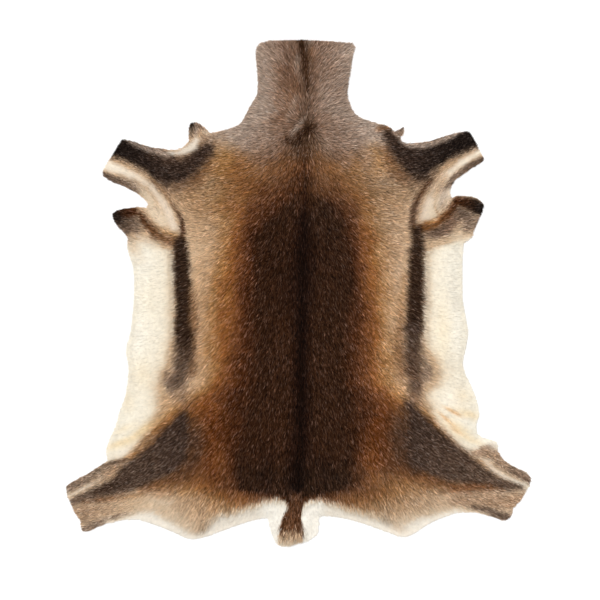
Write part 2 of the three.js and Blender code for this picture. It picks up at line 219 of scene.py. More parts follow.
# Bands laid over the trunk, in order. Rows of two numbers are a closed outline,
# whose tones run from its first point to the given one. Each has its tone at the first and at the
# last point, how soft its edge is, its strength, and rows of u, v, half-width.
BANDS = [
    # ---- withers and shoulders
    ("left shoulder gold", "golden", "golden", 13, 0.5, [(222, 150, 3), (228, 158, 8), (226, 168, 5)]),
    ("left shoulder light", "dove", "dove", 8, 0.55, [(213, 136, 1), (228, 139, 4), (244, 131, 4)]),
    ("left shoulder rufous", "rufous", "rufous", 12, 0.6, [(240, 160, 5), (236, 176, 8), (246, 186, 8)]),
    ("left breast tan", "tawny", "fawn", 13, 0.6, [(192, 196, 4), (200, 204, 6), (206, 222, 7), (198, 240, 5)]),
    ("right shoulder gold", "golden", "golden", 11, 0.5, [(372, 148, 3), (378, 158, 5), (380, 168, 4)]),
    ("right shoulder light", "dove", "dove", 7, 0.6, [(360, 127, 2), (368, 132, 4), (371, 140, 4)]),
    ("right shoulder dun", "dove", "dove", 15, 0.26, [(384, 172, 6), (392, 210, 8), (397, 250, 7), (398, 285, 5)]),
    ("right wither", "bister", "bister", 12, 0.3, [(318, 145, 6), (320, 165, 8), (318, 190, 7)]),
    ("right shoulder brown", "bister", "bister", 7, 0.5, [(386, 160, 3), (391, 170, 4), (402, 182, 4)]),
    ("right rib tan", "tawny", "tawny", 6, 0.45, [(364, 204, 2), (366, 216, 4)]),
    ("right breast tan", "tawny", "fawn", 12, 0.5, [(388, 198, 6), (398, 206, 6), (402, 230, 6)]),
    ("nape left brown", "chestnut", "chestnut", 9, 0.48, [(290, 72, 4), (292, 90, 6), (288, 112, 6), (276, 122, 5)]),
    ("nape right brown", "rufous", "neck", 5, 0.35, [(311, 52, 1), (313, 64, 2), (312, 80, 2)]),
    ("nape left tuft", "chestnut", "chestnut", 7, 0.45, [(278, 66, 2), (282, 84, 4), (276, 104, 3)]),
    ("nape left crown", "cocoa", "cocoa", 8, 0.7, [(284, 46, 3), (288, 60, 5), (289, 80, 4)]),
    ("nape right soft", "taupe", "taupe", 8, 0.4, [(316, 98, 4), (318, 116, 5), (326, 130, 4)]),
    ("nape right silver", "dove", "dove", 6, 0.5, [(322, 88, 3), (324, 100, 5), (336, 112, 5), (352, 122, 4)]),
    ("nape left silver", "dove", "dove", 7, 0.55, [(257, 48, 2), (257, 70, 2), (258, 96, 4), (253, 110, 5), (245, 122, 4)]),
    ("nape parting", "back", "back", 3, 0.8, [(299, 42, 1), (303, 52, 2.4), (305.5, 64, 2.6), (306.5, 78, 1.8), (307, 92, 0.6)]),
    ("nape silver top", "grey", "dove", 3, 0.32, [(311, 42, 2), (306, 47, 1.4)]),
    ("nape silver", "grey", "dove", 3.5, 0.32, [(298, 58, 1), (296, 68, 2), (299, 80, 1)]),
    ("nape silver low", "grey", "dove", 4, 0.3, [(296, 98, 1), (291, 110, 2.5), (288, 120, 2)]),
    ("whorl light", "dove", "dove", 2.6, 0.7, [(305, 119, 1), (299, 127, 2), (292, 134, 1.6)]),
    ("whorl", "back", "back", 4, 0.85, [(313, 127, 2), (308, 131, 3.6), (301, 136, 3), (297, 142, 1.5)]),
    ("whorl left", "back", "nape", 3.4, 0.85, [(286, 137, 1), (289, 142, 3), (297, 147, 2)]),
    ("whorl foot", "umber", "back", 7, 0.35, [(304, 150, 2), (308, 164, 2), (306, 186, 3), (302, 200, 6)]),
    # ---- left foreleg
    ("left foreleg fade", "haunch_brown", "chestnut", 9, 0.6, [(158, 184, 5), (178, 187, 6), (196, 180, 6), (210, 164, 3)]),
    ("left foreleg dark", "coal", "haunch", 5.5, 1.0,
     [(110, 128), (124, 134.5), (140, 143), (158, 149.5), (171, 155), (182, 158), (192, 152), (203, 144), (209, 143),
      (214, 146), (214, 153), (208, 163), (199, 172), (189, 180), (177, 184), (167, 185), (157, 181), (148, 173),
      (136, 165.5), (120, 158.5), (98, 156)], (214, 160)),
    ("left foreleg bloom", "neck", "neck", 7, 0.35, [(150, 154, 2), (168, 160, 4), (184, 160, 4)]),
    ("left foreleg fringe", "dove", "dove", 3, 0.8, [(126, 139, 0.8), (136, 145.5, 2), (150, 149.5, 2.8), (166, 155, 3)]),
    ("left foreleg top rim", "bone", "bone", 3, 0.85, [(170, 153, 1.2), (179, 153.5, 2.2), (188, 150.5, 4), (194, 146, 4.4), (198, 139, 2.4)]),
    ("left tab", "soot", "hock", 2.6, 0.95, [(190, 122, 4.5), (192, 130, 3.5), (191, 137, 1.5)]),
    ("left tab side", "neck", "fawn", 2.5, 0.8, [(198, 124, 2.2), (203, 131, 3), (199, 137, 2)]),
    ("left tab top", "buff", "buff", 2, 0.6, [(203, 132, 1), (209, 134, 1.4)]),
    ("left foreleg under", "rim", "buff", 3, 0.8, [(118, 180, 3), (134, 185, 4), (145, 193, 4), (151, 202, 4)]),
    ("left foreleg light", "ivory", "pink", 3.4, 0.97,
     [(96, 155), (111, 161.5), (131, 170.5), (143, 176.5), (155, 187), (166, 200.5), (174, 214), (181, 230),
      (173, 232), (166, 219), (162, 209), (156, 198), (148, 187.2), (136, 180), (120, 174.8), (92, 166)], (158, 196)),
    ("left foreleg edge", "tawny", "haunch_brown", 2.2, 0.8,
     [(150, 177, 0.4), (160, 187, 0.8), (170, 200, 1.2), (177, 211, 1.4), (182, 221, 1.8), (183.5, 232, 2.2)]),
    ("left foreleg rim", "hock_dark", "rim", 2, 0.95,
     [(98, 176, 6), (112, 181.5, 5.6), (124, 186, 5), (133, 189.5, 3.8), (138, 192, 1.4)]),
    # ---- left armpit and elbow
    ("left armpit", "buff", "buff", 4, 0.85, [(150, 207, 4), (156, 213, 7), (163, 222, 6)]),
    ("left armpit line", "taupe", "taupe", 1.5, 0.35, [(150, 210, 0.5), (156, 207, 0.6), (160, 213, 0.6), (156, 219, 0.5)]),
    ("left elbow brown fill", "hock_dark", "rim", 5, 0.95, [(129, 216, 5), (135, 223, 6), (138, 231, 5)]),
    ("left belly corner", "sand", "linen", 6, 0.75, [(132, 240, 4), (137, 248, 6), (142, 258, 4)]),
    ("left elbow fringe", "rim", "buff", 3, 0.8, [(126, 233, 4), (130, 242, 3), (134, 250, 1.4)]),
    ("left elbow buff", "pink", "linen", 4, 0.7, [(138, 236, 2), (148, 242, 4), (158, 247, 4)]),
    ("left elbow amber", "fawn", "golden", 3.5, 0.6, [(149, 217, 1.5), (155, 226, 2), (166, 233, 2.5), (176, 236, 2)]),
    ("left elbow brown", "umber", "bister", 4, 0.95,
     [(135, 212, 3), (141, 215, 3.2), (147, 224, 3.8), (155, 233, 4.4), (166, 239.5, 4.8), (176, 242, 4.6)]),
    ("left elbow tab", "coal", "umber", 3, 1.0, [(110, 213, 6), (121, 214, 6.5), (133, 211, 4)]),
    ("left elbow tab low", "soot", "hock_dark", 3.5, 0.9, [(116, 220, 6), (124, 225, 6), (130, 229, 4.5)]),
    # ---- left flank line
    ("left flank line top", "haunch_brown", "umber", 2.6, 0.85,
     [(179, 212, 0.8), (183, 221, 1.6), (184, 231, 2.0), (183, 240, 3.6)]),
    ("left flank line", "stripe", "stripe", 3.6, 1.0,
     [(181.5, 243, 6), (181.5, 251, 7), (182.5, 266, 8), (183.5, 286, 8), (184, 305, 8),
      (184.5, 320, 8.4), (185, 336, 8.6)]),
    ("left flank side", "fawn", "fawn", 8, 0.45, [(204, 272, 2), (206, 292, 3)]),
    ("left flank inner", "bister", "bister", 4.5, 0.75,
     [(192, 288, 1), (194, 304, 3), (195, 320, 4.6), (194.5, 334, 3.6), (194, 352, 3), (191, 372, 5)]),
    ("left flank line low", "stripe", "hock_dark", 5.5, 0.9,
     [(185, 334, 8.6), (184.5, 350, 8.8), (183.5, 362, 8.8), (181, 373, 8.6), (176, 382, 7)]),
    ("left flank streak", "neck", "rim", 4, 0.6, [(168, 371, 2), (167, 380, 4), (172, 389, 4)]),
    ("left flank grey", "hock_dark", "neck", 9, 0.5, [(182, 382, 6), (182, 394, 7), (185, 404, 6)]),
    # ---- right foreleg
    ("right foreleg fade", "chestnut", "haunch_brown", 9, 0.6, [(386, 150, 3), (398, 172, 6), (414, 180, 6), (428, 178, 4)]),
    ("right foreleg dark", "haunch", "coal", 5.5, 1.0,
     [(380, 128), (390, 127), (398, 134), (404, 141), (413, 143.5), (430, 142.5), (447, 137), (460, 130), (470, 125),
      (486, 138), (479, 147), (460, 154), (447, 161), (437, 168.5), (428, 177), (418, 179), (405, 172), (397, 164),
      (390, 154), (384, 141)], (470, 138)),
    ("right foreleg fringe", "dove", "dove", 3, 0.85, [(397, 135, 1.4), (401, 140, 2.2), (408, 145, 2.8), (424, 146, 3), (438, 142, 2.8), (452, 136, 2.2), (462, 131, 1)]),
    ("right foreleg top rim", "dove", "dove", 2.0, 0.5, [(403, 141, 0.6), (411, 143, 1.4), (420, 143.5, 1.0)]),
    ("right tab", "taupe", "hock_dark", 2, 0.9, [(394, 132, 3), (399, 131, 2), (403, 128, 2)]),
    ("right shoulder rufous", "rufous", "rufous", 5, 0.7, [(379, 129, 2), (388, 128, 2)]),
    ("right foreleg light", "ivory", "pink", 3.2, 0.97,
     [(488, 145), (480, 149), (462, 159), (447, 170), (437.5, 180.5), (430, 192), (422, 207), (419, 220),
      (430, 222), (434, 205), (438, 193), (445, 182.5), (455, 172), (469, 161.5), (482, 154), (492, 149.5)], (430, 200)),
    ("right foreleg sand", "fawn", "fawn", 3.5, 0.75, [(446, 176, 1.5), (441, 183, 4), (437, 190, 4), (434, 196, 3)]),
    ("right foreleg edge", "umber", "haunch_brown", 3, 0.85,
     [(430, 181, 0.6), (423, 190, 2.0), (417.5, 199, 3.0), (414.5, 206, 3.4), (412, 215, 3.4), (411.5, 224, 4)]),
    ("right foreleg rim", "hock_dark", "rim", 2, 0.95,
     [(488, 159, 4.4), (475, 166, 5.4), (463, 173, 5.2), (453, 181, 4.4), (446, 189, 2)]),
    # ---- right armpit and elbow
    ("right armpit", "pink", "buff", 4.5, 0.85, [(449, 193, 4), (441, 201, 7), (433, 212, 6.5)]),
    ("right armpit shade", "dove", "dove", 4, 0.6, [(441, 188, 1), (443, 198, 2), (441, 206, 2.4), (447, 210, 1.4)]),
    ("right armpit warm", "fawn", "rufous", 2.4, 0.4, [(436, 196, 0.8), (434, 206, 0.8), (438, 214, 0.8)]),
    ("right armpit streak", "fawn", "rufous", 2.0, 0.35, [(446, 200, 0.8), (441, 208, 0.8), (443, 214, 0.8)]),
    ("right elbow flap", "hock_dark", "rim", 6, 0.95, [(459, 212, 6), (468, 219, 8), (467, 227, 6)]),
    ("right elbow flap side", "umber", "hock_dark", 4, 0.75, [(484, 211, 4), (481, 219, 4), (477, 227, 3)]),
    ("right elbow flap low", "buff", "buff", 6, 0.7, [(472, 238, 3), (462, 238, 4), (452, 236, 4)]),
    ("right elbow smoke", "hock_dark", "neck", 5, 0.95, [(424, 229, 3), (432, 233, 6), (442, 230, 7), (453, 221, 6)]),
    ("right elbow amber", "fawn", "amber", 3, 0.8, [(452, 204, 1.2), (446, 212, 1.6), (437, 221, 2), (426, 223.5, 1.4)]),
    ("right elbow brown", "umber", "rufous", 3.4, 0.95,
     [(458, 201, 3.4), (451, 209, 3.8), (445, 217, 3.6), (435, 225.5, 2.6), (424, 228, 3), (416, 229, 4)]),
    ("right elbow tab", "umber", "coal", 3, 1.0, [(456, 200, 3.2), (464, 203, 5.6), (474, 206, 7), (482, 210, 6.5)]),
    # ---- right flank line
    ("right flank line", "stripe", "stripe", 4, 1.0,
     [(416, 230, 5.5), (416.5, 246, 6.8), (415.6, 262, 7.2), (415, 280, 8.2), (414.6, 296, 8.7), (413.5, 318, 9), (413, 326, 8.6)]),
    ("right flank inner", "tawny", "bister", 5.5, 0.8,
     [(404, 276, 1), (401, 298, 3), (400, 318, 4), (399, 330, 5), (399, 346, 5), (401, 372, 4)]),
    ("right flank line low", "haunch", "stripe_brown", 6, 0.9,
     [(412.5, 330, 8.6), (412, 348, 9), (412.5, 362, 9), (414, 374, 8.5), (415, 386, 6)]),
    ("right flank patch", "hock_dark", "rim", 4, 0.8, [(424, 361, 2), (426, 369, 5), (425, 377, 5)]),
    ("right flank grey", "hock_dark", "neck", 8, 0.7, [(414, 384, 6), (414, 394, 7), (412, 402, 6)]),
    # ---- haunches and hind legs
    ("loin left", "ink", "ink", 12, 0.4, [(268, 458, 4), (266, 474, 7), (268, 484, 4)]),
    ("loin right", "ink", "ink", 12, 0.4, [(324, 462, 4), (324, 474, 6), (322, 484, 3)]),
    ("left russet", "russet", "russet", 14, 0.7, [(206, 404, 3), (212, 425, 8), (211, 450, 9), (214, 472, 6)]),
    ("left haunch brown", "haunch_brown", "chestnut", 10, 0.8,
     [(197, 425, 5), (197, 448, 9), (188, 468, 10), (166, 480, 7), (140, 486, 4)]),
    ("left haunch", "haunch", "hock_dark", 4.5, 1.0,
     [(180, 413), (187, 408), (190, 422), (191, 438), (187, 456), (176, 471), (160, 479), (139, 487), (120, 497),
      (108, 500.5), (90, 501), (94, 490), (114, 477), (124, 464), (137, 454.5), (154, 440), (167, 426)], (88, 497)),
    ("left haunch inner", "haunch", "haunch", 11, 0.7, [(188, 414, 2), (192, 430, 4), (190, 450, 6), (176, 468, 5)]),
    ("left hock upper", "rim", "hock", 3.6, 0.95,
     [(66, 489, 5), (80, 481, 5.5), (95, 473.5, 5.2), (108, 466.5, 4.4), (119, 462.5, 3), (128, 461, 1.4)]),
    ("left hock dark edge", "hock_dark", "haunch_brown", 2.4, 0.7, [(103, 465, 1.2), (114, 462.5, 1.4), (126, 459, 1.4)]),
    ("left hock light", "bone", "shank", 2.4, 0.9, [(70, 495.5, 0), (80, 490, 0.4), (90, 485, 1.3), (99, 480, 2.2), (106, 474.5, 2.8), (115, 468, 3)]),
    ("left leg brown", "hock_dark", "hock_dark", 3.2, 0.85, [(98, 491.5, 4.4), (88, 495.5, 4.6), (78, 499.5, 4), (69, 503, 3.4)]),
    ("left hock shade", "stripe", "haunch", 5, 0.6, [(98, 490, 3), (112, 485, 5), (128, 478, 4)]),
    ("left leg tan", "shank", "sand", 6, 0.95,
     [(74, 516, 9), (90, 511, 9), (108, 506, 9), (128, 503, 8), (146, 502, 7)]),
    ("left leg tawny", "chestnut", "tawny", 3.5, 0.65, [(84, 501, 1), (104, 499, 2), (122, 497, 2.6), (142, 494, 2.6)]),
    ("left leg cut dark", "haunch_brown", "hock_dark", 2.6, 0.7, [(66, 498, 1.5), (70, 506, 2)]),
    ("left leg low edge", "rim", "rim", 2.5, 0.85, [(80, 531, 3.4), (94, 526, 4), (108, 520.5, 3.4), (124, 515, 2.4), (142, 513, 1.4), (158, 516.5, 1.2)]),
    ("left leg cream streak", "sand", "linen", 4, 0.6, [(128, 501, 1), (150, 499, 2), (172, 502, 2)]),
    ("left leg cut", "bone", "pink", 2.2, 0.5, [(68, 490, 1), (72, 512, 1.2), (80, 524, 1.5)]),
    ("right russet", "russet", "russet", 12, 0.7, [(384, 408, 3), (378, 425, 6), (373, 450, 7), (373, 474, 5)]),
    ("right haunch brown", "haunch_brown", "chestnut", 11, 0.85,
     [(398, 412, 5), (397, 436, 9), (400, 460, 11), (420, 474, 9), (448, 482, 5)]),
    ("right haunch", "haunch", "hock_dark", 4.5, 1.0,
     [(404, 401), (409, 402), (421, 412), (437, 427), (453, 441.5), (469, 453), (485, 468), (500, 476.5), (522, 485),
      (524, 490), (500, 490), (474, 486.5), (448, 481), (424, 472), (410, 463), (406, 448), (407, 428), (408, 412)],
     (522, 487)),
    ("right haunch inner", "haunch", "haunch", 11, 0.8, [(405, 410, 2), (403, 430, 5), (404, 450, 7), (414, 466, 5)]),
    ("right hock upper", "rim", "shank", 3.6, 0.95,
     [(531, 480, 4), (519, 472, 5), (505, 463, 7), (493, 455, 7), (482, 452, 6), (473, 452, 3)]),
    ("right hock dark", "haunch_brown", "hock_dark", 2.4, 0.5, [(531, 482, 2), (520, 476, 1.6), (508, 469, 1.2)]),
    ("right hock light", "bone", "pink", 2.6, 0.85, [(524, 484.5, 0.4), (513, 480, 1.2), (502, 475, 2.0), (492, 468, 2.4), (485, 461, 2.6)]),
    ("right leg tan", "shank", "shank", 6, 0.95,
     [(520, 499, 8), (506, 502, 9), (490, 500, 9), (472, 499, 8), (454, 500, 6)]),
    ("right rump tan", "tawny", "tawny", 10, 0.35, [(374, 476, 4), (396, 486, 6), (416, 486, 5)]),
    ("right leg tawny", "chestnut", "chestnut", 4, 0.8, [(500, 488, 1), (484, 486.5, 2.6), (468, 487, 4), (454, 487, 4)]),
    ("right leg low edge", "hock_dark", "hock_dark", 3, 0.85, [(510, 519, 4), (498, 515, 4), (485, 510, 3.4), (471, 506, 1.6)]),
]

# The cream underside: its inner edge down each side, as rows of station and u.
CREAM_LEFT = [(228, 112), (234, 124), (240, 138), (246, 158), (251, 173), (262, 175), (290, 175.5), (320, 175.5), (335, 174.5),
              (350, 170), (361, 167), (368, 164), (373, 161), (385, 160), (394, 160), (402, 160), (410, 161),
              (418, 158), (430, 150), (440, 142), (450, 134), (458, 123), (466, 100), (480, 60)]
CREAM_RIGHT = [(234, 484), (240, 456), (246, 436), (252, 425), (262, 422.5), (280, 422), (320, 422), (338, 423),
               (348, 427), (357, 433.5), (366, 438), (376, 438), (384, 435), (392, 426), (398, 425), (406, 428),
               (416, 433), (428, 441), (440, 451), (450, 462), (458, 474), (470, 520)]
# The cream hem of the rump: where it is half on, and how soft, as rows of u.
HEM = [(108, 519, 4), (120, 517, 5), (132, 512, 6), (144, 508, 8), (156, 508, 9), (168, 514, 12),
       (180, 520, 11), (192, 526, 8), (204, 527, 8), (212, 519, 8), (220, 512, 7), (228, 510.5, 6),
       (240, 507.5, 5.5), (252, 503, 5), (264, 499, 4.5), (274, 497, 3.5), (284, 499, 3), (289, 505, 2),
       (294, 530, 2), (299, 530, 2), (303, 502, 2), (311, 497.5, 3), (324, 498.5, 4.5), (336, 502, 5),
       (348, 505.5, 6), (360, 510, 5), (372, 513, 6), (384, 515, 7), (396, 521, 8), (408, 517, 9),
       (420, 513, 9), (432, 511, 8), (444, 508, 6), (456, 506, 5), (468, 508.5, 4), (480, 512, 4)]

# Small soft marks over everything: tone, u, v, reach along, reach across, angle, strength.
MARKS = [
    ("straw", 150, 300, 26, 9, 90, 0.10), ("straw", 442, 330, 34, 8, 90, 0.22), ("grey", 148, 268, 5, 12, 0, 0.16),
    ("grey", 452, 300, 22, 5, 90, 0.16), ("grey", 446, 360, 12, 5, 90, 0.14), ("grey", 140, 330, 12, 4, 90, 0.10),
    ("straw", 143, 372, 16, 9, 90, 0.20), ("straw", 130, 402, 12, 7, 90, 0.20),
    # Streaks along the groin folds. The amber ones, and the taupe ones at (488, 446) and (480, 452), lie in the creases
    # and are painted crease shade. The straw streaks at (146, 428), (120, 443), (126, 428), (466, 413), (458, 428) and
    # (472, 440), and the bone one at (124, 452), are painted highlight on the fold ridges.
    ("amber", 158, 420, 15, 2.2, 42, 0.45), ("straw", 146, 428, 24, 4, 38, 0.65),
    ("straw", 120, 443, 14, 3.5, 22, 0.55), ("fawn", 163, 412, 14, 4, 42, 0.55), ("bone", 124, 452, 14, 4, 25, 0.45),
    ("straw", 126, 428, 12, 4, 25, 0.25), ("amber", 452, 411, 9, 1.8, -28, 0.65),
    ("straw", 466, 413, 12, 4, -18, 0.55), ("amber", 446, 419, 12, 1.8, -42, 0.50),
    ("amber", 455, 430, 8, 1.8, -30, 0.40), ("straw", 458, 428, 14, 5, -35, 0.45),
    ("straw", 462, 396, 10, 7, -60, 0.25), ("straw", 472, 440, 14, 3, -20, 0.35),
    # The hock marks at (204, 526) and (386, 517) are a painted shadow on the rump's lower edge.
    ("taupe", 488, 446, 8, 2.5, 10, 0.50), ("taupe", 480, 452, 8, 2, 12, 0.40), ("hock", 204, 526, 8, 4, 25, 0.50),
    ("hock", 386, 517, 7, 5, -40, 0.50), ("grey", 218, 516, 9, 3, 20, 0.35), ("fawn", 196, 529, 8, 4, 10, 0.35),
    ("fawn", 398, 527, 8, 4, -10, 0.35), ("grey", 262, 514, 8, 1.6, 4, 0.22), ("grey", 322, 513, 5, 1.8, 0, 0.30),
    ("grey", 340, 514.5, 10, 1.6, -6, 0.22), ("grey", 151, 244, 9, 4, 0, 0.15), ("rufous", 220, 458, 9, 16, 0, 0.35),
    ("rufous", 370, 458, 8, 18, 0, 0.30), ("dove", 326, 145, 9, 11, 0, 0.32), ("fawn", 226, 146, 7, 6, 0, 0.40),
    ("cocoa", 270, 160, 9, 8, 0, 0.30), ("tawny", 241, 200, 6, 7, 0, 0.30), ("rufous", 202, 425, 7, 7, 0, 0.30),
    ("golden", 226, 268, 9, 5, 70, 0.35), ("golden", 228, 296, 9, 4, 60, 0.35), ("rufous", 233, 318, 8, 4, 60, 0.40),
    ("golden", 372, 262, 8, 4, -60, 0.30), ("rufous", 368, 300, 8, 4, -60, 0.35), ("cream", 240, 520, 12, 5, 0, 0.15),
    ("umber", 306, 200, 12, 15, 0, 0.40), ("umber", 261, 190, 9, 8, 0, 0.25), ("umber", 336, 185, 7, 9, 0, 0.20),
    # The hock streak at (149, 439) lies in a left groin crease: painted crease shade.
    ("hock", 149, 439, 14, 3.5, 42, 0.50), ("ink", 304, 262, 26, 22, 0, 0.22), ("ink", 288, 292, 14, 22, 0, 0.25),
    ("buff", 457, 402, 9, 16, 0, 0.30),
]


def coat(x, y, rnd=None):
    """The coat's colour at points of the model, in sRGB, with its mottling."""
    u, v = chart(np.asarray(x, float), np.asarray(y, float))
    n = len(u)
    rnd = np.zeros(n) if rnd is None else rnd
    spine = np.interp(v, *np.array(SPINE).T)
    wander = (3.2 * cloud(u, v, 16, 3) + 2.2 * cloud(u, v, 7, 4)) * smooth01((v - 150) / 60)
    off = u - spine
    d = np.abs(off)
    dd = np.maximum(d + wander * smooth01((d - 20) / 30) + rnd * 2.0, 0)
    left = gradient(TRUNK_LEFT, TRUNK_TONES, v, dd, 0.16)
    right = gradient(TRUNK_RIGHT, TRUNK_TONES, v, dd, 0.16)
    w = smooth01((off + 6) / 12)[:, None]
    col = left * (1 - w) + right * w
    # how rich the brown is, by station
    stations = [140, 160, 182, 208, 250, 400, 455, 474, 495]
    rich_l = np.interp(v, stations, [1.12, 1.05, 0.90, 1.00, 1.09, 1.09, 1.12, 0.96, 0.94])
    rich_r = np.interp(v, stations, [1.12, 1.05, 0.82, 0.90, 1.03, 1.05, 1.06, 0.84, 0.84])
    rich = (rich_l * (1 - w[:, 0]) + rich_r * w[:, 0])[:, None]
    mean = col.mean(1, keepdims=True)
    col = mean + (col - mean) * rich
    neck = gradient(NECK, NECK_TONES, v, np.maximum(d + 1.5 * rnd + 2 * cloud(u, v, 9, 5), 0))
    low = np.interp(d, [0, 30, 60, 90], [160, 168, 160, 142])
    w = smooth01((low + 22 - v - 6 * cloud(u, v, 12, 6) - 5 * rnd) / 44)[:, None]
    col = col * (1 - w) + neck * w
    # the cream underside
    sway = 1.6 * cloud(u, v, 9, 7) + 1.2 * rnd
    inner_l = np.interp(v, *np.array(CREAM_LEFT).T) + sway
    inner_r = np.interp(v, *np.array(CREAM_RIGHT).T) + sway
    soft = 4.0 + 7.0 * smooth01((v - 340) / 60)
    w = smooth01((inner_l + soft * 0.5 - u) / soft) * (v > 222)
    w = np.maximum(w, smooth01((u - inner_r + soft * 0.5) / soft) * (v > 226) * (u > 300))
    edge = np.where(u < 300, inner_l - u, u - inner_r)
    belly = TONES["buff"] + (TONES["cream"] - TONES["buff"]) * smooth01((edge + 3) / 18)[:, None]
    belly = belly + (TONES["milk"] - belly) * smooth01((edge - 10) / 24)[:, None]
    col = col * (1 - w[:, None]) + belly * w[:, None]
    for _, first, last, softness, strength, pts, *end in BANDS:
        us, vs = [q[0] for q in pts], [q[1] for q in pts]
        patch = len(pts[0]) == 2
        m = softness + 3 + (0 if patch else max(q[2] for q in pts))
        near = np.nonzero((u > min(us) - m) & (u < max(us) + m) & (v > min(vs) - m) & (v < max(vs) + m))[0]
        if not len(near):
            continue
        un, vn = u[near], v[near]
        jitter = rnd[near] * min(1.6, 0.3 * softness) + 0.25 * softness * cloud(un, vn, 6, 8)
        depth = (patch_depth if patch else band_depth)(un, vn, pts) + jitter
        w = smooth01((depth + softness) / (2 * softness) + 0.0) * strength
        a, b = np.array(pts[0][:2], float), np.array(end[0] if end else pts[-1][:2], float)
        ab = b - a
        t = smooth01(((un - a[0]) * ab[0] + (vn - a[1]) * ab[1]) / (ab @ ab + 1e-9))[:, None]
        tone = TONES[first] * (1 - t) + TONES[last] * t
        col[near] = col[near] * (1 - w[:, None]) + tone * w[:, None]
    # the rump's hem
    rows = np.array(HEM, float)
    hem = np.interp(u, rows[:, 0], rows[:, 1]) + 1.2 * cloud(u, v, 7, 9) + rnd * 1.4
    soft = np.interp(u, rows[:, 0], rows[:, 2])
    on = smooth01((v - hem) / (2 * soft) + 0.5) * smooth01((u - 100) / 12) * smooth01((492 - u) / 10) * (v > 484)
    tone = TONES["buff"] + (TONES["hem"] - TONES["buff"]) * smooth01((v - hem) / 7)[:, None]
    flap = smooth01((36 - np.abs(u - 293)) / 10)[:, None]
    tone = tone + (TONES["flap"] - tone) * flap * smooth01((v - hem) / 6)[:, None]
    col = col * (1 - on[:, None]) + tone * on[:, None]
    # the tail's dark middle and its paler tip
    tail = band_depth(u, v, [(297, 490, 6), (295.5, 499, 4.6), (293.8, 507, 5), (291.8, 515, 7.6),
                             (291.6, 522, 9.8), (291.6, 531, 11.8), (290, 542, 12)])
    w = smooth01((tail + 1.2 * rnd + 1.2 * cloud(u, v, 3, 13) + 1.6) / 3.2) * smooth01((v - 488) / 8)
    tip = smooth01((v - 528 + 5 * cloud(u, v, 3, 10) + 3.5 * rnd) / 9)[:, None]
    tone = TONES["tail"] * (1 - tip) + TONES["tail_tip"] * tip
    tone = tone + (TONES["linen"] - tone) * smooth01((v - 535) / 9)[:, None]
    col = col * (1 - w[:, None]) + tone * w[:, None]
    for name, mu, mv, ru, rv, angle, strength in MARKS:
        a = np.radians(angle)
        p = (u - mu) * np.cos(a) - (v - mv) * np.sin(a)
        q = (u - mu) * np.sin(a) + (v - mv) * np.cos(a)
        w = strength * np.exp(-((p / ru) ** 2 + (q / rv) ** 2))
        col = col * (1 - w[:, None]) + TONES[name] * w[:, None]
    # mottling
    calm = 1 - 0.7 * smooth01((col.mean(1) - 0.55) / 0.3)
    m = 1 + calm * (0.06 * cloud(u, v, 11, 11) + 0.09 * cloud(u, v, 4.5, 12))
    return np.clip(col, 0, 1), m


# ---------------------------------------------------------------------------
# The frame's outline and the height of its coat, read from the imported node.
# ---------------------------------------------------------------------------
def node_mesh(obj):
    mesh = obj.data
    co = np.empty(len(mesh.vertices) * 3)
    mesh.vertices.foreach_get("co", co)
    m = np.array(obj.matrix_world)
    co = co.reshape(-1, 3) @ m[:3, :3].T + m[:3, 3]
    mesh.calc_loop_triangles()
    tri = np.empty(len(mesh.loop_triangles) * 3, int)
    mesh.loop_triangles.foreach_get("vertices", tri)
    keys, first, inverse = np.unique(np.round(co * 1e5).astype(int), axis=0, return_index=True, return_inverse=True)
    return co[first], inverse.reshape(-1)[tri].reshape(-1, 3)


def outline_of(co, tri):
    low = tri[(co[tri][:, :, 2] < 1e-4).all(1)]
    edges = {}
    for a, b, c in low:
        for p, q in ((a, b), (b, c), (c, a)):
            key = (min(p, q), max(p, q))
            edges[key] = edges.get(key, 0) + 1
    after = {}
    for (p, q), n in edges.items():
        if n == 1:
            after.setdefault(p, []).append(q)
            after.setdefault(q, []).append(p)
    loops, seen = [], set()
    for start in sorted(after):
        if start in seen:
            continue
        loop, here, last = [start], start, None
        seen.add(start)
        while True:
            step = [q for q in after[here] if q != last and q not in seen]
            if not step:
                break
            last, here = here, step[0]
            seen.add(here)
            loop.append(here)
        loops.append(loop)
    loop = max(loops, key=len)
    return co[loop][:, :2]


def resample(poly, step):
    closed = np.vstack([poly, poly[:1]])
    run = np.concatenate([[0], np.cumsum(np.hypot(*np.diff(closed, axis=0).T))])
    at = np.linspace(0, run[-1], int(round(run[-1] / step)), endpoint=False)
    return np.stack([np.interp(at, run, closed[:, 0]), np.interp(at, run, closed[:, 1])], 1)


def soften(poly, passes):
    for _ in range(passes):
        poly = 0.25 * np.roll(poly, 1, 0) + 0.5 * poly + 0.25 * np.roll(poly, -1, 0)
    return poly


class Grid:
    """A regular grid of values over the floor, read with bilinear weights."""

    def __init__(self, x0, y0, step, values):
        self.x0, self.y0, self.step, self.values = x0, y0, step, values

    def __call__(self, x, y):
        h, w = self.values.shape
        i = np.clip((np.asarray(x) - self.x0) / self.step, 0, w - 1.001)
        j = np.clip((np.asarray(y) - self.y0) / self.step, 0, h - 1.001)
        a, b = i.astype(int), j.astype(int)
        fx, fy = i - a, j - b
        v = self.values
        return ((v[b, a] * (1 - fx) + v[b, a + 1] * fx) * (1 - fy)
                + (v[b + 1, a] * (1 - fx) + v[b + 1, a + 1] * fx) * fy)


FAR = 26 * MM


